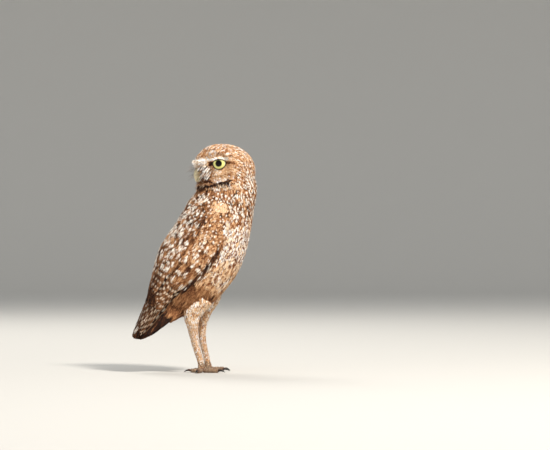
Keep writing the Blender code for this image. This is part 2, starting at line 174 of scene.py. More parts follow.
class Bench:
    """Modelling steps that several pieces share."""

    @staticmethod
    def pick(*objects: bpy.types.Object) -> None:
        """Selects only these objects and makes the first the active one."""
        bpy.ops.object.select_all(action="DESELECT")
        for thing in objects:
            thing.select_set(True)
        bpy.context.view_layer.objects.active = objects[0]

    @staticmethod
    def modify(piece: bpy.types.Object, kind: str, **settings: object) -> None:
        """Adds a modifier to a piece and applies it.

        Args:
            piece: The object to change.
            kind: The modifier's type.
            settings: Its settings by name.
        """
        Bench.pick(piece)
        modifier = piece.modifiers.new(kind.title(), kind)
        for name, value in settings.items():
            setattr(modifier, name, value)
        bpy.ops.object.modifier_apply(modifier=modifier.name)

    @staticmethod
    def copy_of(node: str) -> bpy.types.Object:
        """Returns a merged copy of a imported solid, which itself stays as it is."""
        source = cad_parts[node]
        twin = source.copy()
        twin.data = source.data.copy()
        twin.parent = None
        twin.data.materials.clear()
        bpy.context.scene.collection.objects.link(twin)
        Bench.pick(twin)
        bpy.ops.object.mode_set(mode="EDIT")
        bpy.ops.mesh.select_all(action="SELECT")
        bpy.ops.mesh.remove_doubles(threshold=1e-6)
        bpy.ops.mesh.normals_make_consistent(inside=False)
        bpy.ops.object.mode_set(mode="OBJECT")
        return twin

    @staticmethod
    def added(name: str, operator: str, **options: object) -> bpy.types.Object:
        """Adds a primitive by one of the add operators.

        Args:
            name: The new piece's name.
            operator: The operator's name after bpy.ops.mesh.
            options: The primitive's sizes and place, in metres.

        Returns:
            The new object, alone selected.
        """
        bpy.ops.object.select_all(action="DESELECT")
        getattr(bpy.ops.mesh, operator)(**options)
        piece = bpy.context.active_object
        piece.name = name
        piece.data.name = name
        return piece

    @staticmethod
    def places(piece: bpy.types.Object) -> np.ndarray:
        """Returns a mesh's corners in millimetres."""
        flat = np.empty(len(piece.data.vertices) * 3, np.float32)
        piece.data.vertices.foreach_get("co", flat)
        return flat.reshape(-1, 3).astype(float) / MM

    @staticmethod
    def place(piece: bpy.types.Object, places: np.ndarray) -> None:
        """Moves a mesh's corners to places in millimetres."""
        piece.data.vertices.foreach_set("co", (places * MM).astype(np.float32).ravel())
        piece.data.update()

    @staticmethod
    def applied(piece: bpy.types.Object) -> bpy.types.Object:
        """Returns the piece with its place and turn moved into its mesh."""
        Bench.pick(piece)
        bpy.ops.object.transform_apply(location=True, rotation=True, scale=True)
        return piece

    @staticmethod
    def keep_largest(piece: bpy.types.Object) -> bpy.types.Object:
        """Returns the largest loose part of a mesh and removes the rest."""
        Bench.pick(piece)
        bpy.ops.mesh.separate(type="LOOSE")
        parts = sorted(bpy.context.selected_objects, key=lambda o: len(o.data.vertices))
        for part in parts[:-1]:
            bpy.data.objects.remove(part)
        return parts[-1]

    @staticmethod
    def hand_over(
        piece: bpy.types.Object, material: bpy.types.Material, slot: str, *nodes: str
    ) -> None:
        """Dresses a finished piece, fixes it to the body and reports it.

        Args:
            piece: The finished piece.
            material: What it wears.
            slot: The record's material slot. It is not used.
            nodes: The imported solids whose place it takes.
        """
        piece.data.materials.clear()
        piece.data.materials.append(material)
        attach(piece, BODY)
        if nodes:
            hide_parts(*nodes)
        piece.data.calc_loop_triangles()
        log.info("%s: %d triangles", piece.name, len(piece.data.loop_triangles))


class Signal:
    """A value on its way through a shader. Sums on it add Math nodes."""

    def __init__(self, paint: "Paint", socket: bpy.types.NodeSocket) -> None:
        """Wraps a node's output socket."""
        self.paint, self.socket = paint, socket

    def sum(self, operation: str, *values: object) -> "Signal":
        """Returns the result of a Math node over these values."""
        return self.paint.node("ShaderNodeMath", {"operation": operation}, dict(enumerate(values)))

    def __add__(self, other: object) -> "Signal":
        """Returns self + other."""
        return self.sum("ADD", self, other)

    def __sub__(self, other: object) -> "Signal":
        """Returns self - other."""
        return self.sum("SUBTRACT", self, other)

    def __rsub__(self, other: object) -> "Signal":
        """Returns other - self."""
        return self.sum("SUBTRACT", other, self)

    def __mul__(self, other: object) -> "Signal":
        """Returns self * other."""
        return self.sum("MULTIPLY", self, other)

    def __truediv__(self, other: object) -> "Signal":
        """Returns self / other."""
        return self.sum("DIVIDE", self, other)

    def __abs__(self) -> "Signal":
        """Returns the size of self."""
        return self.sum("ABSOLUTE", self)

    def __pow__(self, other: object) -> "Signal":
        """Returns self to the power of other."""
        return self.sum("POWER", self, other)

    __radd__, __rmul__ = __add__, __mul__

    def wave(self) -> "Signal":
        """Returns the sine of self turns."""
        return self.sum("SINE", self * math.tau)

    def ease(self, low: object, high: object) -> "Signal":
        """Returns 0 before low and 1 past high, with a smooth rise between."""
        values = {"Value": self, "From Min": low, "From Max": high}
        return self.paint.node("ShaderNodeMapRange", {"interpolation_type": "SMOOTHSTEP"}, values)


class Paint:
    """One material under construction."""

    def __init__(self, name: str) -> None:
        """Starts a material with a Principled shader."""
        self.material = bpy.data.materials.new(name)
        self.material.use_nodes = True
        self.tree = self.material.node_tree
        self.shader = self.tree.nodes["Principled BSDF"]

    def node(self, kind: str, settings: dict, values: dict, output: object = 0) -> Signal:
        """Adds a node.

        Args:
            kind: The node's type.
            settings: Its own settings, and under "stops" a colour ramp's places and colours.
            values: A number, colour or signal for each socket, by name or place.
            output: The output socket that is wanted, by name or place.

        Returns:
            The output as a signal.
        """
        made = self.tree.nodes.new(kind)
        for name, value in settings.items():
            if name != "stops":
                setattr(made, name, value)
        if "stops" in settings:
            made.color_ramp.elements.remove(made.color_ramp.elements[0])
            for at, colour in settings["stops"]:
                made.color_ramp.elements.new(at).color = colour
            made.color_ramp.elements.remove(made.color_ramp.elements[-1])
        for key, value in values.items():
            if isinstance(value, Signal):
                self.tree.links.new(value.socket, made.inputs[key])
            else:
                made.inputs[key].default_value = value
        return Signal(self, made.outputs[output])

    def feed(self, **values: object) -> bpy.types.Material:
        """Sets or links the shader's sockets.

        Args:
            values: Each socket's value or signal, with _ for a space in its name.

        Returns:
            The material.
        """
        for key, value in values.items():
            socket = self.shader.inputs[key.replace("_", " ")]
            if isinstance(value, Signal):
                self.tree.links.new(value.socket, socket)
            else:
                socket.default_value = value
        return self.material

    def attribute(self, name: str, output: str = "Vector") -> Signal:
        """Returns a mesh attribute."""
        return self.node("ShaderNodeAttribute", {"attribute_name": name}, {}, output)

    def parts(self, vector: Signal) -> tuple[Signal, Signal, Signal]:
        """Returns the three numbers of a vector."""
        first = self.node("ShaderNodeSeparateXYZ", {}, {0: vector})
        outputs = first.socket.node.outputs
        return first, Signal(self, outputs[1]), Signal(self, outputs[2])

    def place(self) -> Signal:
        """Returns the place on the piece."""
        return self.node("ShaderNodeTexCoord", {}, {}, "Object")

    def noise(self, scale: float, detail: float = 2.0, place: Signal | None = None) -> Signal:
        """Returns a soft noise from 0 to 1 with this many grains to a metre."""
        values = {"Vector": place or self.place(), "Scale": scale, "Detail": detail}
        return self.node("ShaderNodeTexNoise", {}, values)

    def grain(self, vector: Signal, stretch: tuple[float, float, float]) -> Signal:
        """Returns a noise that follows a vector, with this many grains to each of its units."""
        values = {0: vector, 1: stretch}
        place = self.node("ShaderNodeVectorMath", {"operation": "MULTIPLY"}, values)
        return self.noise(1.0, 1.0, place)

    def mix(self, factor: object, first: object, second: object) -> Signal:
        """Returns the first colour turned into the second by a factor."""
        settings = {"data_type": "RGBA"}
        colours = {6: first, 7: second}
        colours = {k: v.linear() if isinstance(v, Hue) else v for k, v in colours.items()}
        return self.node("ShaderNodeMix", settings, {0: factor, **colours}, 2)

    def ramp(self, value: Signal, *stops: tuple[float, Hue]) -> Signal:
        """Returns the colour between these stops at a value."""
        settings = {"stops": [(at, hue.linear()) for at, hue in stops]}
        return self.node("ShaderNodeValToRGB", settings, {0: value})

    def bump(self, height: Signal, depth: float, strength: float = 1.0) -> Signal:
        """Returns a normal bent by a height of 0 to 1 over this depth in metres."""
        values = {"Strength": strength, "Distance": depth, "Height": height}
        return self.node("ShaderNodeBump", {}, values)


TONES = (
    (0.0, Hue.NIGHT), (0.2, Hue.UMBER), (0.4, Hue.BROWN), (0.6, Hue.TAN),
    (0.8, Hue.BUFF), (0.93, Hue.CREAM), (1.0, Hue.WHITE),
)


@dataclass(frozen=True)
class PlumageFinish:
    """Feathers, whose marks follow each vane: a ground tone, a pale drop, a dark heart and flecks.

    With notches, as on quills, the bars are even ones on the outer web. Otherwise they are flecks.
    """

    name: str
    bars: float = 2.6
    barbs: float = 9.0
    fringe: float = 0.08
    barb_depth: float = 0.0
    drop_place: float = 0.78
    drop_length: float = 0.20
    notched: bool = False

    def material(self) -> bpy.types.Material:
        """Returns the feathers' material."""
        paint = Paint(self.name)
        vane = paint.attribute("vane")
        across, along, chance = paint.parts(vane)
        tone, pale, dark = paint.parts(paint.attribute("marks"))
        barred = paint.attribute("marks", "Alpha")
        own = paint.grain(vane, (1.3, 3.4, 61.0))
        fine = paint.grain(vane, (2.6, 9.0, 23.0))
        other = (chance * 7.31).sum("FRACT", chance * 7.31)
        barb = ((along + abs(across) * 0.3) * self.barbs + chance * 3).wave()
        edge = abs(across).ease(0.5, 1.0)
        mottle = ((fine - 0.5) * 0.6 + (own - 0.5) * 0.3) * (1.2 - tone)
        level = tone + mottle + barb * 0.02 + edge * self.fringe
        # Each feather darkens towards its root: painted shade where the next feathers overlap it
        ground = paint.ramp(level - (1 - along) ** 2.0 * (1.1 - tone) * 0.4, *TONES)
        wobble = (own - 0.5) * 1.3 + (fine - 0.5) * 1.0
        wide = ((across + (other - 0.5) * 0.7) / 0.60) ** 2.0
        long = ((along - self.drop_place - (other - 0.5) * 0.16) / self.drop_length) ** 2.0
        reach = (wide + long) ** 0.5 + wobble
        drop = (1 - reach.ease(pale * 0.9 - 0.15, pale * 0.9 + 0.25)) * pale.ease(0.02, 0.1)
        ring = (1 - reach.ease(pale + 0.3, pale + 0.8)) * dark.ease(0.1, 0.9)
        streak = (wide * 1.6 + ((along - 0.72) / 0.34) ** 2.0) ** 0.5 + wobble
        heart = (1 - streak.ease(dark * 0.8 - 0.2, dark * 0.8 + 0.25)) * dark.ease(0.02, 0.2)
        if self.notched:
            beat = (along * self.bars + chance * 3 + wobble * 0.35).wave().ease(-0.1, 0.8)
            bar = beat * across.ease(0.0, 0.4) * (1 - across.ease(0.5, 0.95)) * barred
            bar = bar * (0.45 + own.ease(0.3, 0.6) * 0.55)
            rim = across.ease(0.82, 0.98) * 0.6
            colour = paint.mix(bar, paint.mix(rim, ground, Hue.TAN), Hue.CREAM)
        else:
            fleck = own.ease(0.60 - barred * 0.17, 0.66 - barred * 0.17) * barred.ease(0.02, 0.1)
            dark_hue = paint.mix(tone.ease(0.3, 0.62), Hue.NIGHT, Hue.RUST)
            shade = paint.mix(ring.sum("MAXIMUM", ring * 0.8, heart * 0.9), ground, dark_hue)
            colour = paint.mix(drop * 0.95, paint.mix(fleck, shade, dark_hue), Hue.WHITE)
        looks = {"Base_Color": colour, "Roughness": 0.82, "Specular_IOR_Level": 0.3}
        if self.barb_depth:
            looks["Normal"] = paint.bump(barb * 0.5 + 0.5, self.barb_depth * MM, 0.6)
        return paint.feed(**looks)


@dataclass(frozen=True)
class SkinFinish:
    """The skin, which has the plumage's colours under it and bare scaly toes."""

    scale_count: float = 900.0
    scale_depth: float = 0.35

    def material(self) -> bpy.types.Material:
        """Returns the skin's material."""
        paint = Paint("skin")
        tone, bare, out = paint.parts(paint.attribute("marks"))
        down = paint.ramp(tone - 0.12 + (paint.noise(500, 3) - 0.5) * 0.5, *TONES)
        values = {"Vector": paint.place(), "Scale": self.scale_count}
        cell = paint.node("ShaderNodeTexVoronoi", {"feature": "F1"}, values).ease(0.15, 0.75)
        plate = (out * 2 + paint.noise(300, 2) * 0.8).wave().ease(-1.0, -0.3)
        scaly = paint.mix(cell * 0.7 + (1 - plate) * 0.5, Hue.TOE, Hue.UMBER)
        dusty = paint.mix(paint.noise(160, 3).ease(0.5, 0.75) * 0.45, scaly, Hue.BUFF)
        height = ((1 - cell) * 0.5 + plate * 0.5) * bare + paint.noise(1400, 2) * (1 - bare) * 0.4
        return paint.feed(
            Base_Color=paint.mix(bare, down, dusty),
            Roughness=0.72,
            Normal=paint.bump(height, self.scale_depth * MM, 0.8),
        )


@dataclass(frozen=True)
class EyeFinish:
    """A pale yellow iris round a black pupil, under a wet clear front."""

    side: int
    pupil: float = 3.25
    iris: float = 6.75

    def material(self) -> bpy.types.Material:
        """Returns the eyeball's material."""
        paint = Paint("eye_left" if self.side > 0 else "eye_right")
        centre, axis = eye_centre(self.side) * MM, eye_axis(self.side)
        off = paint.node(
            "ShaderNodeVectorMath", {"operation": "SUBTRACT"}, {0: paint.place(), 1: tuple(centre)}
        )
        across = paint.node(
            "ShaderNodeVectorMath", {"operation": "CROSS_PRODUCT"}, {0: off, 1: tuple(axis)}
        )
        far = paint.node("ShaderNodeVectorMath", {"operation": "LENGTH"}, {0: across}, "Value")
        out = far / MM
        ray = paint.node("ShaderNodeVectorMath", {"operation": "NORMALIZE"}, {0: across})
        fibre = paint.noise(9.0, 3, ray)
        depth = (out - self.pupil) / (self.iris - self.pupil)
        band = paint.ramp(
            depth + (fibre - 0.5) * 0.5,
            (0.0, Hue.IRIS_RIM), (0.22, Hue.IRIS), (0.8, Hue.IRIS), (1.0, Hue.IRIS_RIM),
        )
        inner = paint.mix(out.ease(self.pupil - 0.1, self.pupil + 0.1), Hue.LID, band)
        colour = paint.mix(out.ease(self.iris - 0.25, self.iris + 0.15), inner, Hue.LID)
        return paint.feed(
            Base_Color=colour, Roughness=0.35, Coat_Weight=0.6, Coat_Roughness=0.03, Coat_IOR=1.3,
            Specular_IOR_Level=0.1,
        )


@dataclass(frozen=True)
class HornFinish:
    """Bill or claw: horn that runs from one colour at its root to another at its tip."""

    name: str
    root: Hue
    tip: Hue
    roughness: float = 0.34

    def material(self) -> bpy.types.Material:
        """Returns the horn's material, which reads how far each place is from the root."""
        paint = Paint(self.name)
        reach, painted_nostril_shade, _ = paint.parts(paint.attribute("marks"))
        cloud = paint.noise(420, 3)
        body = paint.mix((reach + (cloud - 0.5) * 0.35).ease(0.05, 0.75), self.root, self.tip)
        streak = paint.noise(1500, 2) * 0.5 + (reach * 9 + cloud).wave() * 0.1
        return paint.feed(
            # The nostril is painted near black: painted shade inside its opening
            Base_Color=paint.mix(painted_nostril_shade, body, Hue.LID),
            Roughness=self.roughness,
            Normal=paint.bump(streak, 0.10 * MM, 0.6),
        )


@dataclass(frozen=True)
class PlainFinish:
    """A quiet finish with a little unevenness, for the studio's floor."""

    name: str
    hue: Hue
    other: Hue
    roughness: float
    grain: float

    def material(self) -> bpy.types.Material:
        """Returns the material."""
        paint = Paint(self.name)
        cloud = paint.noise(self.grain, 3)
        return paint.feed(
            Base_Color=paint.mix(cloud, self.hue, self.other), Roughness=self.roughness
        )


@dataclass(frozen=True)
class LidFinish:
    """Lids, wet and near black at their rims and brown under the small feathers."""

    roughness: float = 0.4

    def material(self) -> bpy.types.Material:
        """Returns the lids' material."""
        paint = Paint("lids")
        out, _, _ = paint.parts(paint.attribute("marks"))
        crease = paint.noise(900, 3)
        return paint.feed(
            Base_Color=paint.mix((out + crease * 0.2).ease(1.0, 1.6), Hue.LID, Hue.BROWN),
            Roughness=self.roughness,
            Normal=paint.bump(crease, 0.05 * MM, 0.5),
        )


class Outline:
    """The owl's smooth outer surface, on which every feather is laid."""

    VOXEL = 0.75
    SWELL = 0.25
    SMOOTHING = 8

    def __init__(self) -> None:
        """Joins the solids of flesh into one closed surface and reads it."""
        self.piece = self.joined()
        mesh = self.piece.data
        mesh.calc_loop_triangles()
        self.corners = Bench.places(self.piece)
        flat = np.empty(len(mesh.loop_triangles) * 3, np.int32)
        mesh.loop_triangles.foreach_get("vertices", flat)
        self.faces = flat.reshape(-1, 3)
        slopes = np.empty(len(mesh.vertices) * 3, np.float32)
        mesh.vertices.foreach_get("normal", slopes)
        self.normals = self.smoothed(slopes.reshape(-1, 3).astype(float))
        self.face_normals = unit(self.normals[self.faces].sum(1))
        self.tree = BVHTree.FromPolygons(self.corners.tolist(), self.faces.tolist())
        self.nodes = self.node_of(self.corners)
        self.face_nodes = self.nodes[self.faces[:, 0]]
        a, b, c = self.corners[self.faces].transpose(1, 0, 2)
        self.middles = (a + b + c) / 3
        self.areas = np.linalg.norm(np.cross(b - a, c - a), axis=1) / 2

    def joined(self) -> bpy.types.Object:
        """Returns one closed mesh round all the solids of flesh."""
        copies = [Bench.copy_of(node) for node in FLESH]
        for twin in copies:
            Bench.modify(twin, "DISPLACE", strength=self.SWELL * MM, mid_level=0.0)
        Bench.pick(*copies)
        bpy.ops.object.join()
        piece = bpy.context.active_object
        piece.name = "skin"
        Bench.modify(piece, "REMESH", mode="VOXEL", voxel_size=self.VOXEL * MM)
        piece = Bench.keep_largest(piece)
        piece.name = piece.data.name = "skin"
        high = Bench.places(piece)[:, 2] > 12
        group = piece.vertex_groups.new(name="feathered")
        group.add(np.flatnonzero(high).tolist(), 1.0, "REPLACE")
        Bench.modify(
            piece, "SMOOTH", factor=0.5, iterations=self.SMOOTHING, vertex_group="feathered"
        )
        return piece

    def smoothed(self, slopes: np.ndarray) -> np.ndarray:
        """Returns the normals evened out over their neighbours."""
        for _ in range(6):
            total = np.zeros_like(slopes)
            for turn in range(3):
                np.add.at(total, self.faces[:, turn], slopes[self.faces].sum(1))
            slopes = unit(total)
        return slopes

    def node_of(self, places: np.ndarray) -> np.ndarray:
        """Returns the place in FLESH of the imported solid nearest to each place."""
        corners, faces, owners, start = [], [], [], 0
        for rank, node in enumerate(FLESH):
            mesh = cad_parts[node].data
            mesh.calc_loop_triangles()
            corners += [tuple(v.co / MM) for v in mesh.vertices]
            faces += [tuple(i + start for i in t.vertices) for t in mesh.loop_triangles]
            owners += [rank] * len(mesh.loop_triangles)
            start += len(mesh.vertices)
        tree = BVHTree.FromPolygons(corners, faces)
        return np.array([owners[tree.find_nearest(p)[2]] for p in places.tolist()])

    def nearest(self, places: np.ndarray) -> tuple[np.ndarray, np.ndarray, np.ndarray]:
        """Finds the surface under some places.

        Args:
            places: The places, in rows of three.

        Returns:
            The nearest points of the surface, its normals there and the faces they lie on.
        """
        found = [self.tree.find_nearest(p) for p in places.tolist()]
        points = np.array([f[0] for f in found])
        faces = np.array([f[2] for f in found])
        return points, self.face_normals[faces], faces

    def cast(self, starts: np.ndarray, way: np.ndarray) -> tuple[np.ndarray, np.ndarray]:
        """Casts parallel rays at the surface.

        Args:
            starts: Where each ray starts.
            way: The direction of them all.

        Returns:
            The points hit, and the face hit by each, or -1.
        """
        hits = [self.tree.ray_cast(p, way) for p in starts.tolist()]
        points = np.array([h[0] if h[0] else s for h, s in zip(hits, starts.tolist())])
        return points, np.array([-1 if h[2] is None else h[2] for h in hits])

    def scatter(
        self, wanted: np.ndarray, spacing: float, rng: np.random.Generator
    ) -> tuple[np.ndarray, np.ndarray]:
        """Scatters places evenly over part of the surface, no two nearer than the spacing.

        Args:
            wanted: Which faces take part.
            spacing: The least distance between two places.
            rng: The source of chance.

        Returns:
            The places, and the faces they lie on.
        """
        faces = np.flatnonzero(wanted)
        areas = self.areas[faces]
        count = int(5 * areas.sum() / spacing**2)
        picked = faces[rng.choice(len(faces), count, p=areas / areas.sum())]
        weights = rng.dirichlet((1, 1, 1), count)
        places = (self.corners[self.faces[picked]] * weights[:, :, None]).sum(1)
        cells = np.floor(places / spacing).astype(int)
        taken: dict[tuple[int, int, int], list[int]] = {}
        kept = []
        steps = [(i, j, k) for i in (-1, 0, 1) for j in (-1, 0, 1) for k in (-1, 0, 1)]
        rows, limit = places.tolist(), spacing**2
        for index, (i, j, k) in enumerate(cells.tolist()):
            x, y, z = rows[index]
            near = (taken.get((i + a, j + b, k + c), ()) for a, b, c in steps)
            if any(
                (rows[n][0] - x) ** 2 + (rows[n][1] - y) ** 2 + (rows[n][2] - z) ** 2 < limit
                for group in near
                for n in group
            ):
                continue
            taken.setdefault((i, j, k), []).append(index)
            kept.append(index)
        return places[kept], picked[kept]


class Lie:
    """Which way the feathers lie at each place."""

    BILL_ROOT = np.array((31.0, 0.0, 1.0))
    BILL_TIP = np.array((38.0, 0.0, -14.0))
    LEGS = [FLESH.index(n) for n in FLESH if n.startswith(("thigh", "shank", "foot"))]

    def head(self, places: np.ndarray) -> np.ndarray:
        """Returns the lie on the head, not yet laid into its surface."""
        local = in_head(places)
        back = unit(local - self.BILL_ROOT)
        drop = ease(local[:, 0], 6, -20)[:, None]
        way = back * (1 - drop) + np.array((0, 0, -1.0)) * drop
        for side in (1, -1):
            off = local - EYE_PLACE * (1, side, 1)
            near = 1 - ease(np.linalg.norm(off, axis=1), 10, 18)
            way = way + unit(off) * (near * 1.3)[:, None]
        lore = (
            ease(local[:, 0], 19, 24)
            * ease(np.abs(local[:, 1]), 13, 8)
            * ease(local[:, 2], 8, 3)
            * ease(local[:, 2], -17, -12)
        )
        way = way * (1 - lore)[:, None] + unit(self.BILL_TIP - local) * lore[:, None] * 2
        return way @ np.stack([AHEAD, LEFTWARD, UPWARD])

    def at(self, places: np.ndarray, normals: np.ndarray, nodes: np.ndarray) -> np.ndarray:
        """Gives the lie of the feathers.

        Args:
            places: Where the feathers are.
            normals: The surface's normals there.
            nodes: The solids they are on, as places in FLESH.

        Returns:
            Directions in the surface, of length one.
        """
        height = places[:, 2]
        head = ease(height, 189, 202)[:, None]
        body = ease(height, 186, 166)[:, None]
        down = np.array((0.0, 0.0, -1.0))
        way = unit(self.head(places)) * head + down * (1 - head)
        way = way * (1 - body) + ALONG * body
        way[np.isin(nodes, self.LEGS)] = (-0.05, 0, -1)
        return flattened(way, normals)


@dataclass(frozen=True)
class Mark:
    """How the plumage of a patch looks.

    tone runs from 0, nearly black, to 1, white, and vary says how much it differs from feather to
    feather. drops and drop_size say how many feathers end in a pale drop and how large it is, dark
    how strong the dark hearts are, and bars how dense the bars or flecks are.
    """

    tone: float
    drops: float = 0.0
    drop_size: float = 0.0
    dark: float = 0.0
    bars: float = 0.0
    vary: float = 0.06

    def row(self) -> np.ndarray:
        """Returns the values as a row."""
        return np.array((self.tone, self.drops, self.drop_size, self.dark, self.bars, self.vary))


# How far across the folded wing's lower edge lies, at places along it
WING_EDGE = ((12, 90, 121, 153), (23.8, 17.9, 12.3, 6.5))
# The dark collar's height in the head's frame, and how it changes towards the bill
COLLAR_START, COLLAR_FALL = -11.8, -0.30


class Markings:
    """The owl's pattern, which the skin and every feather read at their own place."""

    GROUND = {
        "head": Mark(0.70, 0.25, 0.7, 0.15, 0.35, 0.17),
        "neck": Mark(0.50, 0.6, 1.0, 0.6, 0.4, 0.16),
        "trunk": Mark(0.95, 0.0, 0.0, 0.1, 0.6, 0.05),
        # The tail: its own dark brown, darkened near to black as painted shade on its underside
        "tail": Mark(0.10, 0.0, 0.0, 0.1, 0.2),
        "wing": Mark(0.60, 0.4, 0.75, 0.2, 0.4, 0.12),
        "thigh": Mark(0.86, 0.0, 0.0, 0.1, 0.35, 0.10),
        "shank": Mark(0.84, 0.0, 0.0, 0.1, 0.45, 0.12),
        "foot": Mark(0.62, vary=0.15),
    }

    def base(self, nodes: np.ndarray) -> np.ndarray:
        """Returns the rows of values that each solid starts with."""
        rows = np.stack([self.GROUND[name.split("_")[0]].row() for name in FLESH])
        return rows[nodes]

    def at(self, places: np.ndarray, nodes: np.ndarray) -> np.ndarray:
        """Works out the pattern.

        Args:
            places: Where it is wanted.
            nodes: The solids these are on, as places in FLESH.

        Returns:
            Rows of tone, drops, drop size, dark and bars.
        """
        rows = self.base(nodes)
        trunk = nodes == FLESH.index("trunk")
        wings = np.isin(nodes, (FLESH.index("wing_left"), FLESH.index("wing_right")))
        height = places[:, 2]
        along, across = in_slant(places)
        front = ease(across, 8, 22)
        back = ease(across, -4, -10)
        seam = ease(np.abs(across + 6), 2.6, 1.2) * ease(along, 8, 18) * ease(along, 70, 55)
        # Painted shadow: a dark band on the trunk just under the folded wing's lower edge
        shade = ease(np.abs(across - np.interp(along, *WING_EDGE) - 0.6), 2.6, 1.0)
        shade = shade * ease(along, 18, 30) * ease(np.abs(places[:, 1]), 8, 14)
        for where, mark in (
            (trunk * ease(height, 144, 160) * front, Mark(0.70, 0.4, 1.0, 0.7, 0.8, 0.18)),
            # The lower belly: its own whitish cream, lowered in tone as painted shade on the underside
            (trunk * ease(height, 116, 104) * ease(along, 84, 76), Mark(0.82, 0, 0, 0.1, 0.4, 0.09)),
            # The vent and undertail: their own buff, darkened to brown as painted shade under the body
            (trunk * ease(along, 72, 84), Mark(0.38, 0, 0, 0, 0, 0.06)),
            # The painted shadow band under the wing's lower edge
            (trunk * shade, Mark(0.24, 0.1, 0.6, 0.2, 0.2, 0.1)),
            (trunk * (1 - front) * ease(along, 60, 40), Mark(0.34, 0.7, 1.0, 0.5, 0.2, 0.12)),
            (wings * ease(along, 16, 4) * ease(across, -2, 6), Mark(0.52, 0.5, 0.9, 0.5, 0.4, 0.14)),
            (wings * self.blob(places, (30, 171), (10, 9)), Mark(0.78, 0.03, 0.4, 0.0, 0.05, 0.05)),
            (wings * ease(along, 24, 18) * ease(across, 16, 20), Mark(0.97)),
            (wings * back * ease(along, 100, 80), Mark(0.42, 0.7, 1.0, 0.45, 0.3, 0.13)),
            (wings * (1 - back) * ease(along, 56, 72), Mark(0.44, 0.45, 0.8, 0.4, 0.4, 0.12)),
            (wings * seam, Mark(0.30, 0.3, 0.9, 0.5, 0.3, 0.12)),
            (wings * ease(along, 94, 108), Mark(0.22, 0.2, 0.65, 0.3, 0.3, 0.09)),
        ):
            rows += (mark.row() - rows) * where[:, None]
        return self.head(places, rows)

    @staticmethod
    def blob(
        places: np.ndarray, middle: tuple[float, float], radii: tuple[float, float]
    ) -> np.ndarray:
        """Returns 1 within an oval seen from the side and 0 well outside it."""
        off = (places[:, [0, 2]] - middle) / radii
        return ease(np.linalg.norm(off, axis=1), 1.25, 0.75)

    def head(self, places: np.ndarray, rows: np.ndarray) -> np.ndarray:
        """Adds the face's pattern.

        Args:
            places: Where it is wanted.
            rows: The values so far.

        Returns:
            The new rows.
        """
        local = in_head(places)
        local[:, 1] = np.abs(local[:, 1])
        ahead, out, up = local.T
        behind, above, away = in_eye(places)
        on_head = ease(places[:, 2], 184, 190)
        nape = ease(ahead, 4, -10) * ease(up, 12, -2)
        low_nape = ease(ahead, 4, -10) * ease(up, -4, -14)
        brow_line = 6.4 - 0.014 * (behind - 1) ** 2
        brow = ease(np.abs(above - brow_line), 1.9, 1.0) * ease(behind, 15, 9) * ease(behind, -22, -18)
        lash = ease(np.abs(above - 4.2), 1.3, 0.6) * ease(np.abs(behind), 8, 5)
        forehead = ease(ahead, 21, 25) * ease(up, 2, 4.5) * ease(up, 13, 10)
        cheek = ease(np.linalg.norm(local - EYE_PLACE - (-6, 0, -4), axis=1), 19, 13) * ease(up, 10, 7)
        under = ease(np.hypot((behind + 2) / 1.5, above + 9.5), 4.4, 2.6)
        wedge = ease(behind, -4.2, -5.4) * ease(behind, -15, -10) * ease(np.abs(above + 0.2), 3.6, 1.6)
        line = ease(behind, 5.5, 7) * ease(behind, 24, 14) * ease(np.abs(above - 0.9), 2.2, 0.9)
        lore = ease(ahead, 18, 22) * ease(np.abs(up + 3), 8, 5)
        chin = ease(ahead, 18, 22) * ease(np.abs(up + 12.5), 4.5, 2.5)
        malar = ease(np.abs(up + 10.5 + 0.16 * ahead), 3.4, 2) * ease(ahead, 3, 8) * ease(ahead, 23, 19)
        collar_line = COLLAR_START + COLLAR_FALL * ahead
        collar = ease(np.abs(up - collar_line), 2.4, 1.2) * ease(ahead, 0, 5)
        throat = ease(up - collar_line, -1.6, -3.0) * ease(ahead, -12, -2)
        for where, mark in (
            (nape, Mark(0.62, 0.55, 0.95, 0.45, 0.45, 0.16)),
            (low_nape, Mark(0.58, 0.6, 1.1, 0.6, 0.6, 0.20)),
            (cheek, Mark(0.70, 0.0, 0.3, 0.05, 0.15, 0.07)),
            (under, Mark(0.88, 0.0, 0.0, 0.1, 0.35, 0.08)),
            (throat, Mark(0.90, 0.1, 1.0, 0.2, 0.45, 0.13)),
            (lore, Mark(0.62, 0.2, 0.8, 0.3, 0.4, 0.20)),
            (chin, Mark(0.25, 0.1, 0.8, 0.3, 0.3, 0.14)),
            (malar, Mark(0.90, 0.0, 0.8, 0.1, 0.45, 0.10)),
            (line, Mark(0.30)),
            (lash, Mark(0.34)),
            (forehead, Mark(0.99, vary=0.03)),
            (brow, Mark(0.97, vary=0.04)),
            (wedge, Mark(0.06, vary=0.04)),
            (collar, Mark(0.02, vary=0.03)),
        ):
            rows += (mark.row() - rows) * (where * on_head)[:, None]
        return rows

    @staticmethod
    def of_feathers(rows: np.ndarray, rng: np.random.Generator) -> np.ndarray:
        """Deals each feather its own marks.

        Args:
            rows: The pattern at the feathers' places.
            rng: The source of chance.

        Returns:
            Rows of tone, pale drop, dark heart and bars.
        """
        tone, drops, size, dark, bars, vary = rows.T
        count = len(rows)
        has_drop = rng.random(count) < drops
        pale = np.where(has_drop, size * rng.uniform(0.65, 1.25, count), 0)
        heart = np.clip(dark * rng.uniform(0.1, 1.7, count), 0, 1)
        deal = np.clip(rng.normal(0, 1, count), -1.8, 1.8) * vary
        return np.stack([np.clip(tone + deal, 0, 1), pale, heart, bars], 1)


STRIP_ROWS = 3
PLUME_ROWS = 5


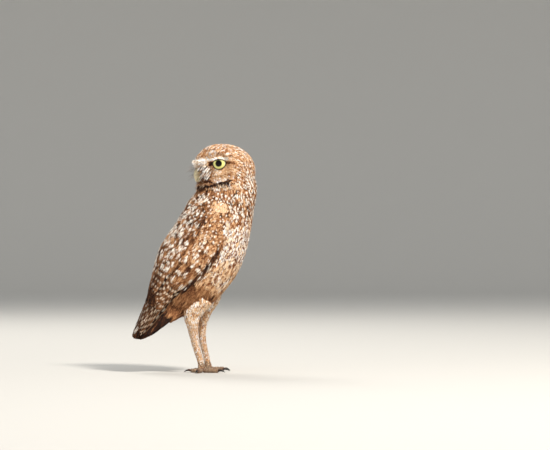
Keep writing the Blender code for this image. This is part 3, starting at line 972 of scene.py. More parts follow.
@dataclass(frozen=True)
class Form:
    """The shape of a kind of feather. Depths and heights are from the outline."""

    rows: int
    columns: int
    root_depth: float
    lift: float = 0.15
    camber: float = 0.25
    root_width: float = 0.35
    widest: float = 0.62
    tip_width: float = 0.22
    bow: float = 0.10
    tilt: float = 0.0
    ragged: float = 0.05
    wraps: bool = True
    strips: int = 0
    outer: int = 1

    def rise(self, at: np.ndarray) -> np.ndarray:
        """Returns how wide a feather has grown at each share of its length."""
        part = np.sin(np.clip(at / self.widest, 0, 1) * math.pi / 2)
        return self.root_width + (1 - self.root_width) * part

    def half_widths(self) -> np.ndarray:
        """Returns the half width of each row, as a share of the widest."""
        at = np.linspace(0, 1, self.rows + 1)
        past = np.clip((at - self.widest) / (1 - self.widest), 0, 1)
        end = self.tip_width + (1 - self.tip_width) * np.sqrt(1 - past**2.4 * 0.999)
        return self.rise(at) * end


@dataclass
class Brood:
    """Feathers of one form, ready to be laid. Each array holds one row for each feather."""

    form: Form
    roots: np.ndarray
    ways: np.ndarray
    lengths: np.ndarray
    widths: np.ndarray
    marks: np.ndarray
    heights: np.ndarray
    steered: bool = False


class Coat:
    """One piece of plumage: many feathers in one mesh."""

    PATCH = 0.003
    CELLS = 256

    def __init__(self, name: str, outline: Outline, lie: Lie, rng: np.random.Generator) -> None:
        """Starts an empty coat.

        Args:
            name: The piece's name.
            outline: The surface the feathers lie on.
            lie: Which way they lie.
            rng: The source of chance.
        """
        self.name, self.outline, self.lie, self.rng = name, outline, lie, rng
        self.points, self.vanes, self.marks, self.roots = [], [], [], []
        self.faces: list[np.ndarray] = []
        self.count = 0

    def add(self, brood: Brood) -> None:
        """Lays feathers and adds their mesh."""
        form, n = brood.form, len(brood.roots)
        if not n:
            return
        spine, normals, ways = self.spines(brood)
        if form.strips:
            self.fray(brood, spine, normals, ways)
            return
        shares = form.half_widths()
        jag = self.rng.uniform(1 - form.ragged, 1 + form.ragged, (n, form.rows + 1, 2))
        ends = np.linspace(-1, 1, form.columns + 1)
        at = np.linspace(0, 1, form.rows + 1)
        side = np.cross(normals, ways)
        half = brood.widths[:, None] / 2 * shares
        reach = half[:, :, None] * ends * np.where(ends < 0, jag[:, :, :1], jag[:, :, 1:])
        bow = form.bow * (at**3)[None, :, None] * brood.lengths[:, None, None] * ends**2
        flat = (
            spine[:, :, None]
            + side[:, :, None] * reach[..., None]
            - ways[:, :, None] * bow[..., None]
        )
        if form.wraps:
            found, slopes, _ = self.outline.nearest(flat.reshape(-1, 3))
            flat, slopes = found.reshape(flat.shape), slopes.reshape(flat.shape)
        else:
            slopes = np.broadcast_to(normals[:, :, None], flat.shape)
        up = (
            -form.root_depth * (1 - at) ** 1.25 + form.lift * at**2 + brood.heights[:, None]
        )[:, :, None] - form.camber * shares[None, :, None] * ends**2
        up = up + form.tilt * (ends * form.outer + 1) / 2
        points = flat + slopes * up[..., None]
        vane = np.empty((*flat.shape[:3], 3))
        vane[..., 0], vane[..., 1] = ends, at[:, None]
        vane[..., 0] *= form.outer
        vane[..., 2] = self.rng.random(n)[:, None, None]
        self.collect(points, vane, brood.roots, brood.marks)

    def fray(
        self, brood: Brood, spine: np.ndarray, normals: np.ndarray, ways: np.ndarray
    ) -> None:
        """Adds feathers as fans of narrow strips, which give soft, broken edges.

        Args:
            brood: The feathers.
            spine: Their shafts' points, by feather and row.
            normals: The surface's normals there.
            ways: The ways of the shafts there.
        """
        form, n, rng = brood.form, len(brood.roots), self.rng
        k, steps = form.strips, np.linspace(0, 1, STRIP_ROWS + 1)
        seat = (2 * np.arange(k) + 1) / k - 1 + rng.uniform(-0.35, 0.35, (n, k)) / k
        end = 1 - form.bow * np.abs(seat) ** 2.2 - rng.uniform(0, form.ragged, (n, k))
        at = end[:, :, None] * steps
        low = np.minimum((at * form.rows).astype(int), form.rows - 1)
        part = (at * form.rows - low)[..., None]
        pick = np.arange(n)[:, None, None]
        middle, slope, way = (
            a[pick, low] * (1 - part) + a[pick, low + 1] * part for a in (spine, normals, ways)
        )
        side = np.cross(slope, way)
        half = brood.widths[:, None, None] / 2
        bend = rng.normal(0, 0.07, (n, k, 1)) * at**2
        middle = middle + side * ((seat[:, :, None] * form.rise(at) + bend) * half)[..., None]
        if form.wraps:
            found, slopes, _ = self.outline.nearest(middle.reshape(-1, 3))
            middle, slope = found.reshape(middle.shape), slopes.reshape(middle.shape)
        taper = np.minimum(0.6 + steps, 1.0) * np.sqrt(1.02 - np.clip(steps * 2 - 1, 0, 1) ** 1.5)
        wide = 1.3 / k * taper
        up = (
            -form.root_depth * (1 - at) ** 1.25
            + form.lift * at**2
            + brood.heights[:, None, None]
            + rng.normal(0, 0.06, (n, k, 1))
            - form.camber * seat[:, :, None] ** 2 * at
        )
        ends = np.array((-1.0, 0.0, 1.0))
        reach = half * wide
        points = (
            middle[..., None, :]
            + side[..., None, :] * (reach[..., None] * ends)[..., None]
            + slope[..., None, :] * (up[..., None] + reach[..., None] * (ends == 0) * 0.35)[..., None]
        )
        vane = np.empty(points.shape)
        vane[..., 0] = seat[:, :, None, None] + (wide[:, None] * ends)
        vane[..., 1] = at[..., None] + rng.normal(0, 0.045, (n, k, 1, 1))
        vane[..., 2] = rng.random(n)[:, None, None, None]
        shape = (n * k, *points.shape[2:])
        marks = np.repeat(brood.marks, k, 0)
        marks[:, 0] = np.clip(marks[:, 0] + rng.normal(0, 0.045, n * k), 0, 1)
        roots = np.repeat(brood.roots, k, 0)
        self.collect(points.reshape(shape), vane.reshape(shape), roots, marks)

    def plume(
        self, roots: np.ndarray, ways: np.ndarray, normals: np.ndarray, lengths: np.ndarray,
        widths: np.ndarray, marks: np.ndarray, sag: float = 0.12,
    ) -> None:
        """Adds single narrow plumes or hairs that stand free of the skin.

        Args:
            roots: Where they start.
            ways: The way each leaves.
            normals: The way each one's flat side faces.
            lengths: Their lengths.
            widths: Their widths.
            marks: Their tone, pale drop, dark heart and bars.
            sag: How far they droop, as a share of their length.
        """
        at = np.linspace(0, 1, PLUME_ROWS + 1)
        run = lengths[:, None] * at
        droop = UPWARD * (sag * at * run)[..., None]
        spine = roots[:, None] + ways[:, None] * run[..., None] - droop
        side = unit(np.cross(normals, ways))[:, None, None]
        over = np.cross(ways[:, None, None], side)
        ends = np.array((-1.0, 0.0, 1.0))
        wide = widths[:, None] / 2 * np.minimum(0.4 + at * 2, 1) * np.sqrt(1.01 - at**2)
        points = (
            spine[:, :, None]
            + side * (wide[..., None] * ends)[..., None]
            + over * (wide[..., None] * (ends == 0) * 0.6)[..., None]
        )
        vane = np.empty(points.shape)
        vane[..., 0], vane[..., 1] = ends, at[:, None]
        vane[..., 2] = self.rng.random(len(roots))[:, None, None]
        self.collect(points, vane, roots, marks)

    def spines(self, brood: Brood) -> tuple[np.ndarray, np.ndarray, np.ndarray]:
        """Follows each feather's shaft over the surface.

        Args:
            brood: The feathers.

        Returns:
            The shafts' points, the normals and the ways there, by feather and row.
        """
        place, normal, face = self.outline.nearest(brood.roots)
        way = flattened(brood.ways, normal)
        step = (brood.lengths / brood.form.rows)[:, None]
        places, normals, ways = [place], [normal], [way]
        for _ in range(brood.form.rows):
            place, normal, face = self.outline.nearest(place + way * step)
            if brood.steered:
                way = flattened(brood.ways, normal)
            else:
                field = self.lie.at(place, normal, self.outline.face_nodes[face])
                way = flattened(way * 0.6 + field * 0.4, normal)
            places.append(place)
            normals.append(normal)
            ways.append(way)
        return np.stack(places, 1), np.stack(normals, 1), np.stack(ways, 1)

    def collect(
        self, points: np.ndarray, vane: np.ndarray, roots: np.ndarray, marks: np.ndarray
    ) -> None:
        """Stores the mesh of some blades, each closed by an underside between its edges.

        Args:
            points: The upper side's points, by blade, row and column.
            vane: Each point's place across and along its feather, and the feather's chance.
            roots: The root of the feather that each blade belongs to.
            marks: Each blade's marks.
        """
        n, rows, columns = points.shape[:3]
        grid = np.arange(rows * columns).reshape(rows, columns)
        top = np.stack([grid[:-1, :-1], grid[:-1, 1:], grid[1:, 1:], grid[1:, :-1]], -1)
        under = np.stack([grid[:-1, 0], grid[1:, 0], grid[1:, -1], grid[:-1, -1]], -1)
        quads = np.concatenate([top.reshape(-1, 4), under])
        caps = np.stack([grid[0, ::-1], grid[-1]])
        starts = self.count + np.arange(n)[:, None, None] * rows * columns
        self.faces += [(quads + starts).reshape(-1, 4), (caps + starts).reshape(-1, columns)]
        self.points.append(points.reshape(-1, 3))
        self.vanes.append(vane.reshape(-1, 3))
        self.marks.append(np.repeat(marks, rows * columns, 0))
        self.roots.append(np.repeat(roots, rows * columns, 0))
        self.count += n * rows * columns

    def made(self, unwrap: "Unwrap") -> bpy.types.Object:
        """Makes the coat's mesh, with its marks and its map of small patches.

        Args:
            unwrap: Where each root lies on a flat map of the skin.

        Returns:
            The new piece.
        """
        mesh = bpy.data.meshes.new(self.name)
        points = np.concatenate(self.points) * MM
        mesh.vertices.add(len(points))
        mesh.vertices.foreach_set("co", points.astype(np.float32).ravel())
        loops = np.concatenate([f.ravel() for f in self.faces]).astype(np.int32)
        sizes = np.concatenate([np.full(len(f), f.shape[1]) for f in self.faces])
        mesh.loops.add(len(loops))
        mesh.loops.foreach_set("vertex_index", loops)
        mesh.polygons.add(len(sizes))
        starts = np.concatenate([[0], np.cumsum(sizes)[:-1]]).astype(np.int32)
        mesh.polygons.foreach_set("loop_start", starts)
        mesh.update(calc_edges=True)
        vanes = np.concatenate(self.vanes)
        mesh.attributes.new("vane", "FLOAT_VECTOR", "POINT").data.foreach_set(
            "vector", vanes.astype(np.float32).ravel()
        )
        mesh.attributes.new("marks", "FLOAT_COLOR", "POINT").data.foreach_set(
            "color", np.concatenate(self.marks).astype(np.float32).ravel()
        )
        uv = self.patches(unwrap, vanes)
        layer = mesh.uv_layers.new(name="OFBake")
        layer.data.foreach_set("uv", uv[loops].astype(np.float32).ravel())
        mesh.shade_smooth()
        mesh.set_sharp_from_angle(angle=math.radians(70))
        piece = bpy.data.objects.new(self.name, mesh)
        bpy.context.scene.collection.objects.link(piece)
        return piece

    def patches(self, unwrap: "Unwrap", vanes: np.ndarray) -> np.ndarray:
        """Gives each feather a small patch of its own on the skin's flat map.

        Args:
            unwrap: Where each root lies on the map.
            vanes: Each corner's place on its vane.

        Returns:
            Each corner's place on the map. A patch takes the free cell nearest to its root.
        """
        roots = np.concatenate(self.roots)
        first = np.flatnonzero(np.r_[True, (np.diff(roots, axis=0) != 0).any(1)])
        cells = np.floor(unwrap.at(roots[first]) * self.CELLS).astype(int)
        taken: set[tuple[int, int]] = set()
        ring = [(i, j) for i in range(-12, 13) for j in range(-12, 13)]
        ring.sort(key=lambda step: step[0] ** 2 + step[1] ** 2)
        middles = []
        for i, j in cells.tolist():
            cell = next(
                (
                    (i + a, j + b)
                    for a, b in ring
                    if (i + a, j + b) not in taken
                    and 0 <= i + a < self.CELLS
                    and 0 <= j + b < self.CELLS
                ),
                (i, j),
            )
            taken.add(cell)
            middles.append(cell)
        owner = np.cumsum(np.isin(np.arange(len(roots)), first)) - 1
        middle = (np.array(middles)[owner] + 0.5) / self.CELLS
        return middle + (vanes[:, :2] * (0.5, 1) - (0, 0.5)) * self.PATCH


@dataclass(frozen=True)
class Unwrap:
    """A flat map of part of the skin, rolled off round an axis or spread from a pole."""

    centre: tuple[float, float, float]
    axis: tuple[float, float, float]
    zero: tuple[float, float, float]
    low: float = 0.0
    high: float = 1.0
    pole: bool = False

    def at(self, places: np.ndarray) -> np.ndarray:
        """Returns each place's point on the map, within 0.02 and 0.98."""
        axis = unit(np.array(self.axis))
        zero = unit(np.array(self.zero) - axis * (np.array(self.zero) @ axis))
        third = np.cross(axis, zero)
        off = places - np.array(self.centre)
        turn = np.arctan2(off @ third, off @ zero)
        rise = off @ axis
        if self.pole:
            slope = np.arccos(np.clip(rise / np.linalg.norm(off, axis=1), -1, 1))
            out = np.sin(slope / 2) / 2
            flat = 0.5 + np.stack([np.cos(turn), np.sin(turn)], 1) * out[:, None]
        else:
            flat = np.stack([turn / math.tau + 0.5, (rise - self.low) / (self.high - self.low)], 1)
        return 0.02 + 0.96 * np.clip(flat, 0, 1)


@dataclass(frozen=True)
class Tract:
    """A patch of skin whose feathers share one form."""

    form: Form
    length: float
    width: float
    spacing: float
    height: float = 0.0
    spread: float = 8.0

    def brood(
        self, owl: "Plumage", places: np.ndarray, faces: np.ndarray, rng: np.random.Generator
    ) -> Brood:
        """Makes the feathers that root at some places.

        Args:
            owl: The plumage, which knows the lie and the pattern.
            places: The roots.
            faces: The outline's faces under them.
            rng: The source of chance.

        Returns:
            The feathers.
        """
        normals = owl.outline.face_normals[faces]
        nodes = owl.outline.face_nodes[faces]
        ways = owl.lie.at(places, normals, nodes)
        turn = np.radians(rng.normal(0, self.spread, len(places)))[:, None]
        ways = ways * np.cos(turn) + np.cross(normals, ways) * np.sin(turn)
        size = rng.uniform(0.85, 1.15, len(places))
        tips = places + ways * self.length * 0.8
        rows = owl.markings.at(tips, nodes)
        return Brood(
            form=self.form,
            roots=places,
            ways=ways,
            lengths=self.length * size,
            widths=self.width * size,
            marks=Markings.of_feathers(rows, rng),
            heights=self.height + rng.normal(0, 0.08, len(places)),
        )


FACE = Form(rows=3, columns=2, root_depth=0.8, lift=0.1, camber=0.05, bow=0.15, ragged=0.2,
            wraps=False, strips=2)
SMALL = Form(rows=4, columns=2, root_depth=1.3, lift=0.1, camber=0.12, bow=0.2, ragged=0.2,
             root_width=0.4, wraps=False, strips=4)
RAY = Form(rows=3, columns=2, root_depth=0.35, lift=0.1, camber=0.0, bow=0.15, ragged=0.2,
           wraps=False, strips=2)
DOWN = Form(rows=3, columns=2, root_depth=0.7, lift=0.3, camber=0.1, bow=0.15, ragged=0.3,
            wraps=False, strips=2)
SOFT = Form(rows=5, columns=4, root_depth=2.0, bow=0.3, ragged=0.16, strips=6)
LONG = Form(rows=6, columns=4, root_depth=2.3, camber=0.35, bow=0.3, ragged=0.16, strips=8)
COVERT = Form(rows=6, columns=4, root_depth=2.2, camber=0.3, bow=0.25, ragged=0.09, strips=7)


class Plumage:
    """All the feathers that root in the skin."""

    def __init__(self, outline: Outline) -> None:
        """Keeps the outline and readies the lie, the pattern and the finishes."""
        self.outline, self.lie, self.markings = outline, Lie(), Markings()
        self.rng = np.random.default_rng(SEED)
        self.small = PlumageFinish("small_feathers", drop_length=0.26, drop_place=0.74).material()
        self.body = PlumageFinish("body_feathers").material()
        self.vane = PlumageFinish("coverts", bars=3.0, fringe=0.14).material()
        self.quill = PlumageFinish(
            "quills", bars=6.5, barbs=110, fringe=0.0, barb_depth=0.06, notched=True
        ).material()

    def on(self, *names: str) -> np.ndarray:
        """Returns which faces of the outline belong to these solids."""
        return np.isin(self.outline.face_nodes, [FLESH.index(n) for n in names])

    def coat(self, name: str) -> Coat:
        """Returns a new empty coat."""
        return Coat(name, self.outline, self.lie, self.rng)

    def grow(self, coat: Coat, tract: Tract, wanted: np.ndarray) -> None:
        """Covers the wanted faces with a tract's feathers."""
        places, faces = self.outline.scatter(wanted, tract.spacing, self.rng)
        coat.add(tract.brood(self, places, faces, self.rng))

    def face_mask(self) -> tuple[np.ndarray, np.ndarray]:
        """Returns which faces are in the facial disc, and which are clear of the eyeballs."""
        local = in_head(self.outline.middles)
        local[:, 1] = np.abs(local[:, 1])
        away = np.linalg.norm(local - EYE_PLACE, axis=1)
        low = (away < 22) & (local[:, 2] < -4) & (local[:, 0] > 0)
        disc = ((away < 17) | low | (local[:, 0] > 20)) & (local[:, 2] < 12) & (local[:, 2] > -20)
        behind, above, away = in_eye(self.outline.middles)
        return disc, (np.hypot(behind, above) > 11.2) | (away > 20)

    def build(self) -> None:
        """Builds every coat but the wings' and the tail's."""
        disc, clear = self.face_mask()
        height = self.outline.middles[:, 2]
        head = self.on("head") & clear
        coat = self.coat("coat_face")
        self.grow(coat, Tract(FACE, 3.9, 1.15, 0.86), head & disc)
        for side in SIDES:
            Eye(side).rays(coat, self)
        Face().build(coat, self)
        self.finish(coat, self.small, Unwrap(tuple(HEAD_CENTRE), tuple(AHEAD), (0, 0, 1), pole=True))
        coat = self.coat("coat_crown")
        self.grow(coat, Tract(SMALL, 7.2, 2.7, 1.6), head & ~disc)
        self.finish(coat, self.small, Unwrap(tuple(HEAD_CENTRE), (0, 0, 1), (1, 0, 0), pole=True))
        coat = self.coat("coat_neck")
        self.grow(coat, Tract(SOFT, 10, 4.2, 2.0), self.on("neck"))
        self.finish(coat, self.body, Unwrap((31, 0, 180), (0, 0, 1), (-1, 0, 0), -16, 18))
        trunk = self.on("trunk")
        along, across = in_slant(self.outline.middles)
        coat = self.coat("coat_body")
        self.grow(coat, Tract(SOFT, 13, 6.6, 3.0), trunk & (along < 30))
        self.grow(coat, Tract(LONG, 16, 9, 3.9), trunk & (along >= 30) & (along < 84))
        self.grow(coat, Tract(LONG, 17, 8, 3.8), trunk & (along >= 84))
        roll = Unwrap(tuple(SLANT_ORIGIN + ACROSS * 15), tuple(ALONG), tuple(-ACROSS), -25, 135)
        self.finish(coat, self.body, roll)
        for side in SIDES:
            legs = self.on(f"thigh_{side}", f"shank_{side}", f"foot_{side}") & (height > 8)
            toes = self.on(f"foot_{side}") & (height > 3) & (self.outline.face_normals[:, 2] > 0.3)
            coat = self.coat(f"coat_leg_{side}")
            self.grow(coat, Tract(DOWN, 7.0, 2.2, 1.4), legs & (height > 54))
            self.grow(coat, Tract(DOWN, 4.2, 1.3, 0.95), legs & (height <= 56))
            self.grow(coat, Tract(DOWN, 2.4, 0.5, 1.8), toes & (height <= 8))
            middle = (5, 14 * SIDES[side], 45)
            self.finish(coat, self.small, Unwrap(middle, (0, 0, 1), (-1, 0, 0), -38, 45))

    def finish(
        self, coat: Coat, material: bpy.types.Material, unwrap: Unwrap, slot: str = "plumage"
    ) -> None:
        """Makes a coat's mesh and hands it over."""
        piece = coat.made(unwrap)
        Bench.hand_over(piece, material, slot)


class Wing:
    """The feathers of a folded wing, in rows that overlap from the shoulder to the tip."""

    def __init__(self, plumage: Plumage, side: str) -> None:
        """Finds the wing's edges, as seen from the side.

        Args:
            plumage: The plumage it belongs to.
            side: "left" or "right".
        """
        self.plumage, self.name, self.side = plumage, side, SIDES[side]
        self.node = f"wing_{side}"
        outline = plumage.outline
        own = outline.corners[outline.nodes == FLESH.index(self.node)]
        along, across = in_slant(own)
        self.stations = np.arange(-8.0, 164.0, 4.0)
        bands = [across[np.abs(along - s) < 4] for s in self.stations]
        self.back = np.array([b.min() for b in bands])
        self.breast = np.array([b.max() for b in bands])

    def edge(self, along: np.ndarray, share: np.ndarray) -> np.ndarray:
        """Returns places across the wing, from 0 at the back to 1 at the breast."""
        back = np.interp(along, self.stations, self.back)
        breast = np.interp(along, self.stations, self.breast)
        return back + (breast - back) * share

    def touch(self, along: np.ndarray, across: np.ndarray) -> tuple[np.ndarray, np.ndarray]:
        """Returns the outline's points and faces at places seen from the side."""
        starts = SLANT_ORIGIN + along[:, None] * ALONG + across[:, None] * ACROSS
        starts = starts + np.array((0, self.side * 90.0, 0))
        return self.plumage.outline.cast(starts, Vector((0, -self.side, 0)))

    def row(
        self, coat: Coat, form: Form, tips: tuple[float, float], shares: tuple[float, float],
        count: int, length: tuple[float, float], width: float, mark: Mark, rise: float = 0.0,
    ) -> None:
        """Lays one row of feathers side by side across the wing.

        Args:
            coat: The coat that takes them.
            form: Their shape.
            tips: How far along the first and the last feather's tips lie.
            shares: Where they lie across, from 0 at the back to 1 at the breast.
            count: How many feathers there are.
            length: The first and the last feather's length.
            width: Their width.
            mark: Their pattern.
            rise: How far they lie above the outline.
        """
        rng, part = self.plumage.rng, np.linspace(0, 1, count)
        tip = np.interp(part, (0, 1), tips) + rng.normal(0, 0.8, count)
        share = np.interp(part, (0, 1), shares)
        reach = np.interp(part, (0, 1), length)
        root = tip - reach
        tip_points, hit = self.touch(tip, self.edge(tip, share))
        root_points, hit_too = self.touch(root, self.edge(root, np.clip(share, 0.06, 0.94)))
        good = (hit >= 0) & (hit_too >= 0)
        rows = np.repeat(mark.row()[None], count, 0)
        coat.add(
            Brood(
                form=form,
                roots=root_points[good],
                ways=unit(tip_points - root_points)[good],
                lengths=reach[good],
                widths=np.full(good.sum(), width),
                marks=Markings.of_feathers(rows, rng)[good],
                heights=(rise - part * 0.2)[good],
                steered=True,
            )
        )

    def build(self) -> None:
        """Builds the wing's two coats: the coverts and the quills."""
        plumage, outline = self.plumage, self.plumage.outline
        mine = plumage.on(self.node)
        along, across = in_slant(outline.middles)
        quill = Form(
            rows=20, columns=8, root_depth=2.8, lift=0.0, camber=0.1, root_width=0.6,
            widest=0.5, tip_width=0.3, bow=0.03, tilt=0.9, ragged=0.03, outer=-self.side,
        )
        quills = plumage.coat(f"quills_{self.name}")
        far, near = Mark(0.12, bars=0.7, vary=0.05), Mark(0.27, bars=0.9, vary=0.08)
        self.row(quills, quill, (147, 160), (0.02, 0.99), 13, (62, 70), 7.5, far)
        self.row(quills, quill, (104, 126), (0.03, 0.75), 11, (44, 48), 8.5, near, 0.5)
        roll = Unwrap(
            tuple(SLANT_ORIGIN + (0, self.side * 12, 0)), tuple(ALONG), tuple(ACROSS), -20, 165
        )
        piece = quills.made(roll)
        Bench.hand_over(piece, plumage.quill, "wing_plumage")
        coat = plumage.coat(f"coverts_{self.name}")
        plumage.grow(coat, Tract(SOFT, 8.5, 4.6, 2.5), mine & (along < 28))
        plumage.grow(coat, Tract(COVERT, 12, 6, 3.3), mine & (along >= 28) & (along < 56))
        spot, edge = Mark(0.46, 0.6, 0.7, 0.4, 0.35, 0.12), Mark(0.28, 0.3, 0.6, 0.4, 0.3, 0.16)
        self.row(coat, COVERT, (66, 70), (0.0, 0.97), 20, (15, 15), 6.5, spot, 0.15)
        self.row(coat, COVERT, (76, 84), (0.0, 0.96), 20, (19, 19), 7, spot, 0.0)
        self.row(coat, COVERT, (86, 98), (0.05, 0.9), 18, (24, 26), 8, spot, -0.1)
        for tip in range(40, 96, 9):
            self.row(coat, COVERT, (tip, tip + 3), (0.965, 0.995), 2, (19, 19), 4.5, edge, 0.9)
        dorsal = mine & (across < outline_back(along)) & (along < 96) & (along > 6)
        plumage.grow(coat, Tract(LONG, 17, 9, 4.6, 0.3), dorsal)
        rump = mine & (outline.face_normals @ ACROSS < -0.55) & (along >= 84) & (along < 150)
        plumage.grow(coat, Tract(LONG, 22, 8, 3.8, 0.4), rump)
        piece = coat.made(roll)
        Bench.hand_over(piece, plumage.vane, "wing_plumage")


def outline_back(along: np.ndarray) -> np.ndarray:
    """Returns how far across the shoulder feathers reach down the wing's side."""
    return np.interp(along, (0, 40, 80, 110), (-2, -8, -12, -14))


class Tail:
    """The tail's quills, fanned a little under the wing tips."""

    def build(self, plumage: Plumage) -> None:
        """Builds the tail's coat."""
        coat = plumage.coat("tail_quills")
        plumage.grow(coat, Tract(LONG, 24, 8, 4.4), plumage.on("tail"))
        roll = Unwrap(tuple(SLANT_ORIGIN + ACROSS * 10), tuple(ALONG), tuple(-ACROSS), 80, 170)
        piece = coat.made(roll)
        Bench.hand_over(piece, plumage.vane, "wing_plumage")


class Skin:
    """The one skin under all the plumage, bare on the toes."""

    DEPTHS = {
        "head": 1.5, "neck": 2.2, "trunk": 2.4, "tail": 1.6, "wing": 2.2, "thigh": 0.9,
        "shank": 0.7, "foot": 0.1,
    }
    THINNEST = 0.33
    KEPT = 0.4
    PLATE = 2.9
    PLATE_DEPTH = 0.2

    def build(self, outline: Outline, markings: Markings) -> None:
        """Sinks the outline's mesh by the plumage's depth and dresses it.

        Args:
            outline: The outline, whose mesh this uses up.
            markings: The pattern.
        """
        depths = np.array([self.DEPTHS[name.split("_")[0]] for name in FLESH])[outline.nodes]
        eyes = np.min(
            [np.linalg.norm(outline.corners - eye_centre(s), axis=1) for s in (1, -1)], axis=0
        )
        depths = depths * ease(eyes, EYE_RADIUS + 0.4, EYE_RADIUS + 1.0)
        starts = outline.corners - outline.normals * 0.2
        for index, (start, way) in enumerate(zip(starts.tolist(), (-outline.normals).tolist())):
            gap = outline.tree.ray_cast(start, way, 12.0)[3]
            if gap is not None:
                depths[index] = min(depths[index], gap * self.THINNEST)
        feet = outline.corners[:, 2] < 11
        bare = ease(outline.corners[:, 2], 12.5, 9.5)
        floor = np.where(feet, 0.0, depths)
        places = outline.corners - outline.normals * floor[:, None]
        for side in SIDES:
            places = Eye(side).bedded(places)
        middles = np.where(places[:, 1:2] > 0, (14.0, 14.5), (8.0, -14.5))
        out = np.linalg.norm(places[:, :2] - middles, axis=1)
        plates = np.sin(out / self.PLATE * math.tau) * ease(places[:, 2], 1.2, 2.5) * bare
        places -= outline.normals * (self.PLATE_DEPTH * plates * ease(out, 4, 7))[:, None]
        places[:, 2] = np.maximum(places[:, 2], 0)
        piece = outline.piece
        Bench.place(piece, places)
        marks = np.ones((len(places), 4))
        marks[:, 0] = markings.at(outline.corners, outline.nodes)[:, 0]
        marks[:, 1] = bare
        marks[:, 2] = out / self.PLATE
        layer = piece.data.attributes.new("marks", "FLOAT_COLOR", "POINT")
        layer.data.foreach_set("color", marks.astype(np.float32).ravel())
        group = piece.vertex_groups.new(name="coarse")
        group.add(np.flatnonzero(~feet).tolist(), 1.0, "REPLACE")
        Bench.modify(piece, "DECIMATE", ratio=self.KEPT, vertex_group="coarse")
        piece.vertex_groups.clear()
        piece.data.shade_smooth()
        Bench.hand_over(piece, SkinFinish().material(), "plumage", *FLESH)


